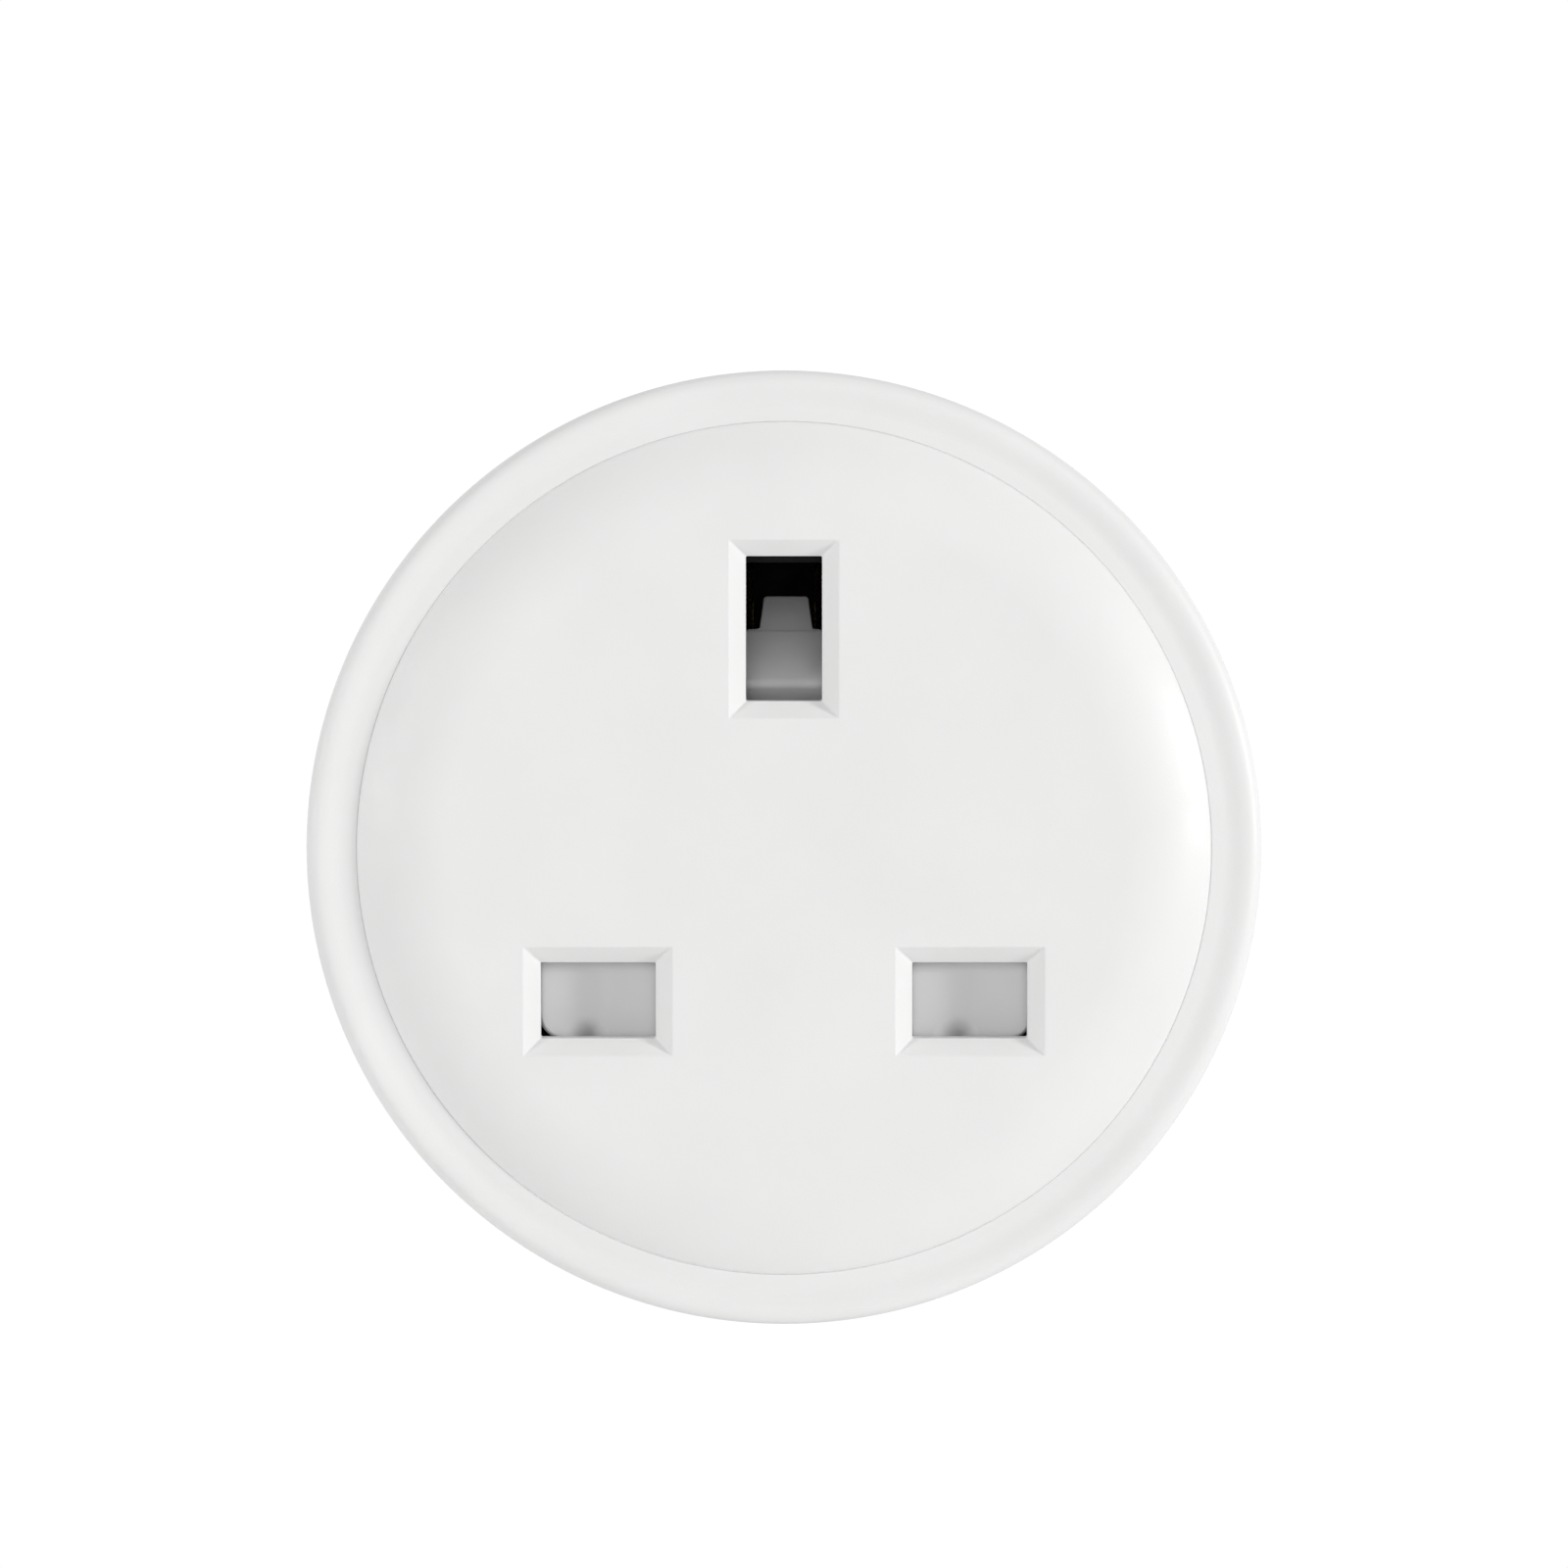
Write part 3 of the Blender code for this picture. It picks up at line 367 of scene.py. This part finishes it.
FINISHES = {
    "housing_white": moulded("housing_white", (0.79, 0.79, 0.785), (0.765, 0.765, 0.76)),
    "shutter_grey": moulded(
        "shutter_grey", (0.66, 0.66, 0.66), (0.62, 0.62, 0.625), (0.38, 0.5), 0.2, 0.005, 0.01
    ),
    "core_black": moulded("core_black", (0.012, 0.011, 0.01), (0.009, 0.008, 0.008), (0.5, 0.65)),
    "sleeve_black": moulded("sleeve_black", (0.022, 0.022, 0.023), (0.014, 0.014, 0.015), (0.34, 0.46)),
    "switch_black": moulded("switch_black", (0.025, 0.025, 0.026), (0.016, 0.016, 0.017), (0.4, 0.55)),
    "choke_black": moulded("choke_black", (0.05, 0.05, 0.05), (0.03, 0.03, 0.032), (0.55, 0.75), 0.1, 0.01),
    "chip_black": moulded(
        "chip_black", (0.022, 0.022, 0.024), (0.014, 0.014, 0.016), (0.45, 0.6), 0.06, 0.006
    ),
    "relay_blue": moulded("relay_blue", (0.035, 0.13, 0.42), (0.028, 0.11, 0.36), (0.3, 0.42)),
    "can_sleeve": moulded("can_sleeve", (0.03, 0.035, 0.09), (0.02, 0.025, 0.07), (0.22, 0.34), 0.3, 0.004),
    "varistor_blue": moulded(
        "varistor_blue", (0.04, 0.17, 0.38), (0.03, 0.13, 0.32), (0.25, 0.45), 0.5, 0.02
    ),
    "resistor_green": moulded(
        "resistor_green", (0.22, 0.38, 0.28), (0.17, 0.31, 0.23), (0.4, 0.6), 0.3, 0.02
    ),
    "led_white": moulded("led_white", (0.78, 0.8, 0.74), (0.72, 0.74, 0.66), (0.2, 0.35)),
    "brass": metal("brass", (0.72, 0.52, 0.24), (0.58, 0.4, 0.18)),
    "copper_alloy": metal("copper_alloy", (0.7, 0.42, 0.27), (0.55, 0.32, 0.2), (0.28, 0.45)),
    "spring_steel": metal("spring_steel", (0.62, 0.62, 0.6), (0.5, 0.5, 0.49), (0.2, 0.32)),
    "zinc_steel": metal("zinc_steel", (0.64, 0.65, 0.66), (0.52, 0.53, 0.55), (0.26, 0.42), (1, 1, 1), 0.3),
    "shield_tin": metal("shield_tin", (0.7, 0.71, 0.72), (0.6, 0.61, 0.62), (0.25, 0.38)),
    "board_green": circuit_board("board_green"),
    "pipe_clear": clear_plastic("pipe_clear"),
}


# ---------------------------------------------------------------- the shells


def front_case():
    """The barrel, its bead, the lip over the face plate's flange, and the two holes on top."""
    rim_round = 0.8
    bead_r = RIM_R - rim_round
    floor_r = 26.4
    bead_steps = 14
    bead = []
    for k in range(1, bead_steps + 1):
        share = k / bead_steps
        height = RING_FLOOR + (RIM_OUT - RING_FLOOR) * cosine_fall(share)
        bead.append((bead_r + (floor_r - bead_r) * share, height))
    lip_back = 33.0
    lip_edge = 0.05
    rear = CASE_LOW.z
    rear_edge = 0.15
    profile = [
        (SPLIT_R - rear_edge, rear),
        (SPLIT_R, rear + rear_edge),
        *arc((bead_r, RIM_OUT - rim_round), rim_round, 0, 90, 14),
        *bead,
        *arc((LIP_R + lip_edge, RING_FLOOR - lip_edge), lip_edge, 90, 180, 4),
        (LIP_R, lip_back),
        (CASE_INNER_R, lip_back),
        (CASE_INNER_R, rear),
    ]
    bm = bmesh.new()
    turned(bm, profile, closed=True, steps=ROUND_STEPS)
    case = mesh_object("barrel", bm)
    foot = 20.0
    top = 30.0
    chamfer_low = SPLIT_R - 0.45
    chamfer_high = SPLIT_R + 0.15
    bm = bmesh.new()
    for radius, out in ((3.78, BUTTON_OUT), (1.45, PIPE_OUT)):
        wide = radius + chamfer_high - chamfer_low
        hole = [(radius, foot), (radius, chamfer_low), (wide, chamfer_high), (wide, top)]
        turned(bm, hole, (0, out), along="up")
    combine(case, bm, "DIFFERENCE")
    dress(case, FINISHES["housing_white"], "housing", ["front_case"])


def aperture(bm, width, height, centre):
    """A pin aperture's shape: a straight bore, a 45 degree chamfer, and small rounds where they meet."""
    chamfer = 1.0
    inner_round = 0.1
    outer_round = 0.12
    past = 1.0
    tangent = math.tan(math.radians(22.5))
    junction = FACE - chamfer
    rise = [(0.0, PLATE_BACK - past)]
    rise += arc((inner_round, junction - inner_round * tangent), inner_round, 180, 135, 4)
    rise += arc((chamfer + outer_round * tangent, FACE - outer_round), outer_round, 135, 96, 5)
    rise.append((rise[-1][0] + 0.6, FACE + 0.4))
    corner = 0.1
    sections = [(out, width + 2 * grow, height + 2 * grow, corner) for grow, out in rise]
    tapered(bm, sections, centre)


def face_plate():
    """The domed disc: flat in the middle, rolled down at its edge, with three apertures and three bosses."""
    flat_r = 20.3
    shoulder_r = 8.7
    shoulder_end = math.degrees(math.acos((DISC_R - flat_r) / shoulder_r))
    flange = (31.6, 32.7)
    flange_r = PLATE_HIGH.x
    skirt_r = 24.0
    edge = 0.01
    shoulder = arc((flat_r, FACE - shoulder_r), shoulder_r, 90, shoulder_end, 24)
    profile = [
        *shoulder[:-1],
        (DISC_R - edge / 2, shoulder[-1][1] + edge / 4),
        (DISC_R, shoulder[-1][1] - edge),
        (DISC_R, flange[1]),
        (flange_r, flange[1]),
        (flange_r, flange[0]),
        (skirt_r, flange[0]),
        (skirt_r, PLATE_BACK),
    ]
    bm = bmesh.new()
    turned(bm, profile, steps=ROUND_STEPS)
    plate = mesh_object("face_disc", bm)
    boss_r = 2.5
    boss_chamfer = 0.3
    boss_end = PLATE_LOW.z
    boss = [
        (boss_r - boss_chamfer, boss_end),
        (boss_r, boss_end + boss_chamfer),
        (boss_r, PLATE_BACK + 0.5),
    ]
    bm = bmesh.new()
    for centre in SCREWS.values():
        turned(bm, boss, centre)
    combine(plate, bm, "UNION")
    pilot_r = 1.7
    pilot_end = 16.5
    bm = bmesh.new()
    for centre in SCREWS.values():
        turned(bm, [(pilot_r, boss_end - 1), (pilot_r, pilot_end)], centre)
    pole_size = (6.9, 4.55)
    earth_size = (4.55, 8.65)
    aperture(bm, *pole_size, (-POLE_X, POLES_UP))
    aperture(bm, *pole_size, (POLE_X, POLES_UP))
    aperture(bm, *earth_size, (0, EARTH_UP))
    combine(plate, bm, "DIFFERENCE")
    dress(plate, FINISHES["housing_white"], "housing", ["face_plate"])


def rear_cover():
    """The cup against the wall: pin slots, stepped screw holes and their tubes."""
    edge = 0.4
    front_edge = 0.15
    tongue_r = 26.2
    tongue_out = COVER_HIGH.z
    inner_r = 25.3
    floor = 2.5
    profile = [
        *arc((SPLIT_R - edge, edge), edge, 270, 360, 8),
        (SPLIT_R, SPLIT_OUT - front_edge),
        (SPLIT_R - front_edge, SPLIT_OUT),
        (tongue_r, SPLIT_OUT),
        (tongue_r, tongue_out - front_edge),
        (tongue_r - front_edge, tongue_out),
        (inner_r, tongue_out),
        (inner_r, floor),
    ]
    bm = bmesh.new()
    turned(bm, profile, steps=ROUND_STEPS)
    cover = mesh_object("wall_cup", bm)
    past = 0.5
    tube_r = 4.0
    tube_end = 6.15
    bm = bmesh.new()
    for centre in SCREWS.values():
        turned(bm, [(tube_r, floor - past), (tube_r, tube_end)], centre)
    combine(cover, bm, "UNION")
    head_r = 3.05
    head_seat = 3.4
    shank_r = 1.7
    hole = [
        (head_r + 0.5, -0.2),
        (head_r, 0.3),
        (head_r, head_seat),
        (shank_r, head_seat + 0.05),
        (shank_r, tube_end + past),
    ]
    bm = bmesh.new()
    for centre in SCREWS.values():
        turned(bm, hole, centre)
    lead = 0.25
    play = 0.2
    sleeve_size = SLEEVE_HIGH - SLEEVE_LOW
    slots = [(sleeve_size.x, sleeve_size.y, (x, POLES_UP)) for x in (-POLE_X, POLE_X)]
    slots.append((*EARTH_SECTION, (0, EARTH_UP)))
    for across, along, centre in slots:
        width = across + play
        height = along + play
        sections = [
            (-0.2, width + 2 * lead, height + 2 * lead, 0.4),
            (0.0, width + 2 * lead, height + 2 * lead, 0.4),
            (lead, width, height, 0.35),
            (floor + past, width, height, 0.35),
        ]
        tapered(bm, sections, centre)
    combine(cover, bm, "DIFFERENCE")
    dress(cover, FINISHES["housing_white"], "housing", ["rear_cover"])


# ---------------------------------------------------------------- the shutter and its spring


def shutter():
    """The grey moulding: two dished flaps on a crossbar, a stem, and the leaning cam with its tongue."""
    stem = 2.2
    foot_up = 8.3
    flap_top = -5.4
    flap_inner = 7.3
    crossbar = -7.8
    outer = SHUTTER_HIGH.x
    bottom = SHUTTER_LOW.y
    front = SHUTTER_HIGH.z
    depth = 2.3
    inner_round = 0.5
    outer_round = 1.75
    flap_edge = 0.3
    play = 0.12
    right = [
        (flap_inner, crossbar),
        *arc((flap_inner + inner_round, bottom + inner_round), inner_round, 180, 270, 4),
        *arc((outer - outer_round, bottom + outer_round), outer_round, -90, 0, 12),
        *arc((outer - inner_round, flap_top - inner_round), inner_round, 0, 90, 4),
        (stem, flap_top),
        (stem, foot_up),
    ]
    left = [(-x, up) for x, up in reversed(right)]
    outline = [(x + play, up) for x, up in right + left]
    bm = bmesh.new()
    pillow(bm, outline, front - depth, front, flap_edge, steps=5)
    item = mesh_object("shutter_moulding", bm)
    dish_r = 1.6
    dish_depth = 0.4
    dish_aside = -0.75
    dish_up = bottom + 0.1
    dish_steps = 20
    tiny = 0.01
    dish = [(tiny, front - dish_depth)]
    for k in range(1, dish_steps + 1):
        share = k / dish_steps
        dish.append((dish_r * share, front + tiny - (dish_depth + tiny) * cosine_fall(share)))
    dish.append((dish_r, front + 1.0))
    for x in (-POLE_X, POLE_X):
        bm = bmesh.new()
        turned(bm, dish, (x + dish_aside, dish_up), steps=48)
        combine(item, bm, "DIFFERENCE")
    root_overlap = 0.4
    bm = bmesh.new()
    loft(bm, cam_rings(front, depth, foot_up - root_overlap))
    combine(item, bm, "UNION")
    dress(item, FINISHES["shutter_grey"], "shutter", ["shutter"], sharp=40)


def cam_rings(front, depth, root_up):
    """The cam's rings, from its root: an undercut, a ridge, then a 45 degree ramp back to a narrow tongue."""
    half = 2.44
    aside = 0.04
    tongue_aside = 0.12
    tongue = 1.58
    tongue_limit = tongue + 0.1
    tip = 1.35
    ridge_up = 9.85
    shoulder_up = 12.95
    top = SHUTTER_HIGH.y
    ease = 0.35
    undercut = 0.7
    set_in = 0.5
    root_depth = 1.4
    edge = 0.09
    ease_steps = 10
    sections = [(root_up, half, 0.0)]
    for k in range(ease_steps + 1):
        turn = k / ease_steps
        sections.append((ridge_up - ease + 2 * ease * turn, half, turn))
    sections += [
        (shoulder_up - 0.1, half, 1.0),
        (shoulder_up, half - 0.04, 1.0),
        (shoulder_up + 0.06, half - 0.2, 1.0),
        (shoulder_up + 0.1, tongue + 0.16, 1.0),
        (shoulder_up + 0.16, tongue + 0.04, 1.0),
        (shoulder_up + 0.3, tongue, 1.0),
        (top - edge, tip + 0.02, 1.0),
        (top - edge * 0.3, tip - 0.03, 1.0),
        (top, tip - edge, 1.0),
    ]
    # Below the ridge the front falls back with the undercut's slope, above it with a slope of 1, and a
    # parabola joins the two over twice the ease. fall is how far the front lies behind the ridge's crest.
    set_back = ease * undercut ** 2 / (1 + undercut)
    rings = []
    for up, reach_x, lean in sections:
        past = up - ridge_up + ease
        if past < 0:
            fall = set_back - undercut * past
        elif past < 2 * ease:
            fall = set_back - undercut * past + (1 + undercut) * past ** 2 / (4 * ease)
        else:
            fall = set_back - ease * undercut + up - ridge_up
        at_front = front - fall - set_in * min((top - up) / (top - ridge_up), 1)
        back = at_front if lean == 1 else max(at_front - root_depth * (1 - lean), front - depth)
        low = up - depth * lean
        corner = min(edge, reach_x / 3)
        middle = Vector(((up + low) / 2, (at_front + back) / 2))
        towards = Vector((up - low, at_front - back))
        shift = aside if reach_x > tongue_limit else tongue_aside
        ring = []
        for x, along in rounded(2 * reach_x, towards.length, corner, steps=3):
            spot = middle + towards.normalized() * along
            ring.append((x + shift, spot.x, spot.y))
        rings.append(ring)
    return rings


def shutter_spring():
    """The return spring, with closed end coils."""
    wire = 0.16
    coil_r = 0.9
    out = (SPRING_LOW.z + SPRING_HIGH.z) / 2
    foot = SPRING_LOW.y + wire
    head = SPRING_HIGH.y - wire
    turns = 9
    closed_share = 0.08
    steps = 28
    sides = 10
    count = turns * steps
    closed_rise = 2.2 * wire
    rings = []
    for k in range(count + 1):
        share = k / count
        if share < closed_share:
            up = foot + closed_rise * share / closed_share
        elif share > 1 - closed_share:
            up = head - closed_rise * (1 - share) / closed_share
        else:
            middle = (share - closed_share) / (1 - 2 * closed_share)
            up = foot + closed_rise + (head - foot - 2 * closed_rise) * middle
        angle = math.tau * k / steps
        radial = (math.cos(angle), math.sin(angle))
        ring = []
        for a, b in arc((0, 0), wire, 0, 360, sides)[:-1]:
            ring.append((radial[0] * (coil_r + a), up + b, out + radial[1] * (coil_r + a)))
        rings.append(ring)
    bm = bmesh.new()
    loft(bm, rings)
    item = mesh_object("return_spring", bm)
    dress(item, FINISHES["spring_steel"], "housing", ["shutter_spring"])
    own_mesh(item)


# ---------------------------------------------------------------- pins, screws, key and light


def pin(node, size, centre, neck, head):
    """A solid pin from its rounded tip to its head inside the cover, with a neck where it has a sleeve."""
    low, high = reach(node)
    corner = 0.45
    nose_length = 1.3
    nose_round = 0.75
    steps = 8
    sections = []
    for k in range(steps + 1):
        angle = math.pi / 2 * k / steps
        out = low.z + nose_length * (1 - math.cos(angle))
        shrink = 2 * nose_round * (1 - math.sin(angle))
        sections.append((out, size[0] - shrink, size[1] - shrink, corner))
    head_foot = 2.7
    if neck:
        shoulder = -9.62
        chamfer = 0.12
        neck_corner = 0.35
        sections += [
            (shoulder - chamfer, *size, corner),
            (shoulder, size[0] - chamfer, size[1] - chamfer, corner),
            (shoulder + 0.05, *neck, neck_corner),
            (head_foot, *neck, neck_corner),
        ]
    else:
        sections.append((head_foot, *size, corner))
    head_chamfer = 0.2
    sections += [
        (head_foot + 0.1, *head, corner),
        (high.z - head_chamfer, *head, corner),
        (high.z, head[0] - 2 * head_chamfer, head[1] - 2 * head_chamfer, corner),
    ]
    bm = bmesh.new()
    tapered(bm, sections, centre)
    item = mesh_object(f"{node}_bar", bm)
    dress(item, FINISHES["brass"], "housing", [node])


def sleeve(node, centre):
    """An insulating sleeve round a pin's neck."""
    low, high = reach(node)
    width = high.x - low.x
    height = high.y - low.y
    edge = 0.08
    corner = 0.45
    wall = 0.42
    rim = [
        (low.z, width - 2 * edge, height - 2 * edge),
        (low.z + edge, width, height),
        (high.z - edge, width, height),
        (high.z, width - 2 * edge, height - 2 * edge),
        (high.z, width - 2 * wall, height - 2 * wall),
        (low.z, width - 2 * wall, height - 2 * wall),
    ]
    rings = []
    for out, across, along in rim:
        rings.append([(x, up, out) for x, up in rounded(across, along, corner, centre)])
    bm = bmesh.new()
    loft(bm, rings, closed=True)
    item = mesh_object(f"{node}_tube", bm)
    dress(item, FINISHES["sleeve_black"], "housing", [node])


def pins():
    """The three pins, and the sleeves of the line and neutral pins."""
    for pole, x in (("line", POLE_X), ("neutral", -POLE_X)):
        pin(f"{pole}_pin", POLE_SECTION, (x, POLES_UP), neck=(5.2, 2.8), head=(9.2, 6.4))
        sleeve(f"{pole}_pin_sleeve", (x, POLES_UP))
    pin("earth_pin", EARTH_SECTION, (0, EARTH_UP), neck=None, head=(6.8, 10.4))


def screw(side, centre):
    """A pan-head screw with a tapered cross recess and a threaded shank."""
    low, high = reach(f"case_screw_{side}")
    head_r = high.x - centre[0]
    seat = 3.1
    dome_height = 0.75
    dome_steps = 8
    dome = []
    for k in range(dome_steps + 1):
        angle = math.radians(12 + 78 * k / dome_steps)
        dome.append((head_r * math.sin(angle), low.z + dome_height * (1 - math.cos(angle))))
    shank_r = 1.15
    crest_r = 1.4
    pitch = 1.05
    plain_shank = 1.0
    point = 1.6
    start = seat + plain_shank
    thread = []
    for k in range(int((high.z - point - start) / pitch)):
        foot = start + k * pitch
        thread += [
            (shank_r, foot),
            (crest_r, foot + 0.4 * pitch),
            (crest_r, foot + 0.5 * pitch),
            (shank_r, foot + 0.9 * pitch),
        ]
    profile = [
        *dome,
        (head_r, seat - 0.1),
        (head_r - 0.1, seat),
        (shank_r, seat + 0.05),
        *thread,
        (0.3, high.z),
    ]
    bm = bmesh.new()
    turned(bm, profile, centre)
    item = mesh_object(f"case_screw_{side}_turned", bm)
    arm = 3.0
    thin = 0.68
    taper = 0.6
    depth = 1.2
    past = 0.5
    corner = 0.1
    slots = (
        ((arm + 0.2, thin + 0.1), (arm * taper, thin)),
        ((thin + 0.2, arm + 0.1), (thin, arm * taper)),
    )
    for mouth, end in slots:
        bm = bmesh.new()
        tapered(bm, [(low.z - past, *mouth, corner), (low.z + depth, *end, corner)], centre, steps=2)
        combine(item, bm, "DIFFERENCE")
    dress(item, FINISHES["zinc_steel"], "housing", [f"case_screw_{side}"])


def power_key():
    """The round key on top: a shallow dish with a rolled edge, on a flange and a stem."""
    stem_r = 1.5
    key_r = 3.5
    top = BUTTON_HIGH.y
    flange_r = BUTTON_HIGH.x
    flange = (24.9, 25.75)
    edge = 0.35
    dish = 0.22
    dish_steps = 10
    tiny = 0.02
    profile = [
        (stem_r, BUTTON_LOW.y),
        (stem_r, flange[0] - 0.05),
        (flange_r, flange[0]),
        (flange_r, flange[1]),
        (key_r, flange[1] + 0.05),
        *arc((key_r - edge, top - edge), edge, 0, 90, 8),
    ]
    for k in range(1, dish_steps + 1):
        share = 1 - k / dish_steps
        radius = max((key_r - edge) * share, tiny)
        profile.append((radius, top - dish * (1 - share ** 2) ** 1.5))
    bm = bmesh.new()
    turned(bm, profile, (0, BUTTON_OUT), along="up")
    item = mesh_object("power_key", bm)
    dress(item, FINISHES["housing_white"], "button", ["power_button"])


def light_pipe():
    """The clear rod that brings the indicator's light to the top of the barrel."""
    top = PIPE_HIGH.y
    pipe_r = 1.2
    flange_r = PIPE_HIGH.x
    flange = (24.9, 25.7)
    foot_chamfer = 0.1
    top_round = 0.25
    profile = [
        (pipe_r - foot_chamfer, PIPE_LOW.y),
        (pipe_r, PIPE_LOW.y + foot_chamfer),
        (pipe_r, flange[0]),
        (flange_r, flange[0] + 0.05),
        (flange_r, flange[1]),
        (pipe_r, flange[1] + 0.05),
        *arc((pipe_r - top_round, top - top_round), top_round, 0, 90, 6),
        (0.4, top),
    ]
    bm = bmesh.new()
    turned(bm, profile, (0, PIPE_OUT), steps=40, along="up")
    item = mesh_object("light_pipe", bm)
    dress(item, FINISHES["pipe_clear"], "housing", ["led_light_pipe"])


# ---------------------------------------------------------------- the studio


def dress_cad_nodes():
    """The pieces inside keep their CAD shapes and take the material of their slot."""
    slots = {entry["node"]: entry["material_slot"] for entry in frame["record"]["subparts"]}
    for name, item in frame["nodes"].items():
        item.data.materials.clear()
        item.data.materials.append(FINISHES[slots[name]])


def area_light(name, direction, watts, size=0.14, distance=0.8):
    """A round soft lamp. direction is its angle off the face's axis and its angle round it, in degrees."""
    off_axis, around = (math.radians(angle) for angle in direction)
    aside = math.sin(off_axis)
    towards = Vector((aside * math.cos(around), -math.cos(off_axis), aside * math.sin(around)))
    lamp = bpy.data.lights.new(name, "AREA")
    lamp.shape = "DISK"
    lamp.size = size
    lamp.energy = watts
    item = bpy.data.objects.new(name, lamp)
    item.location = world(0, 0, FACE) + towards * distance
    item.rotation_euler = (-towards).to_track_quat("-Z", "Y").to_euler()
    bpy.context.scene.collection.objects.link(item)


def surround(front, side, behind):
    """A plain white surround: a patch straight in front of the object, the sides, and the wall behind it."""
    scene = bpy.context.scene
    scene.view_settings.view_transform = "Standard"
    scene.world = bpy.data.worlds.new("surround")
    scene.world.use_nodes = True
    tree = scene.world.node_tree
    background = tree.nodes["Background"]
    background.inputs["Color"].default_value = (1, 1, 1, 1)
    place = tree.nodes.new("ShaderNodeTexCoord")
    split = tree.nodes.new("ShaderNodeSeparateXYZ")
    tree.links.new(place.outputs["Generated"], split.inputs["Vector"])
    level = tree.nodes.new("ShaderNodeFloatCurve")
    curve = level.mapping.curves[0]
    level.mapping.use_clip = False
    for point in list(curve.points)[1:-1]:
        curve.points.remove(point)
    # The curve gives the strength by the Y of the direction: -1 is straight in front, 1 straight behind.
    curve.points[0].location = (-1, front)
    curve.points[1].location = (1, behind)
    for y, strength in ((-0.9, front), (-0.84, side), (0.45, side), (0.55, behind)):
        curve.points.new(y, strength)
    for point in curve.points:
        point.handle_type = "VECTOR"
    level.mapping.update()
    tree.links.new(split.outputs["Y"], level.inputs["Value"])
    tree.links.new(level.outputs["Value"], background.inputs["Strength"])


def floor():
    """A pale floor, half a metre below the object as below a wall socket, that ends below the frame."""
    floor_z = -0.5
    half = 2.8
    glow = 0.06
    bm = bmesh.new()
    corners = [(-half, -half), (half, -half), (half, half), (-half, half)]
    bm.faces.new([bm.verts.new((x, y, floor_z)) for x, y in corners])
    sheet = mesh_object("floor", bm)
    made, tree, shader, place = new_material("floor_white", 0.8)
    tone = tint(tree, noise(tree, place, 400.0), (0.93, 0.93, 0.93), (0.9, 0.9, 0.9))
    tree.links.new(tone, shader.inputs["Base Color"])
    shader.inputs["Emission Color"].default_value = (1, 1, 1, 1)
    shader.inputs["Emission Strength"].default_value = glow
    sheet.data.materials.append(made)


def studio():
    """Soft light: the surround, a key from the right, a fill from the left, faint lamps above and below."""
    surround(front=0.8, side=0.486, behind=1.02)
    area_light("key_right", (64, 8), 3.5)
    area_light("fill_left", (57, 172), 1.85)
    area_light("overhead", (78, 90), 0.5, size=0.3)
    area_light("underside", (78, 270), 0.65, size=0.3)
    floor()


def camera():
    """A long lens, a little above the object's axis, framed as wide as 93.4 mm at the face."""
    distance = 0.46
    elevation = math.radians(3.0)
    frame_width = 93.4 * MM
    sensor = 36.0
    aim = world(0, 4.0, FACE)
    lens = bpy.data.cameras.new("camera")
    lens.sensor_width = sensor
    lens.lens = sensor * distance / frame_width
    lens.clip_start = 0.01
    item = bpy.data.objects.new("camera", lens)
    offset = Vector((0, -math.cos(elevation), math.sin(elevation))) * distance
    item.location = aim + offset
    item.rotation_euler = (-offset).to_track_quat("-Z", "Y").to_euler()
    bpy.context.scene.collection.objects.link(item)
    bpy.context.scene.camera = item


camera()
studio()
dress_cad_nodes()
front_case()
face_plate()
rear_cover()
shutter()
shutter_spring()
pins()
for side, centre in SCREWS.items():
    screw(side, centre)
power_key()
light_pipe()
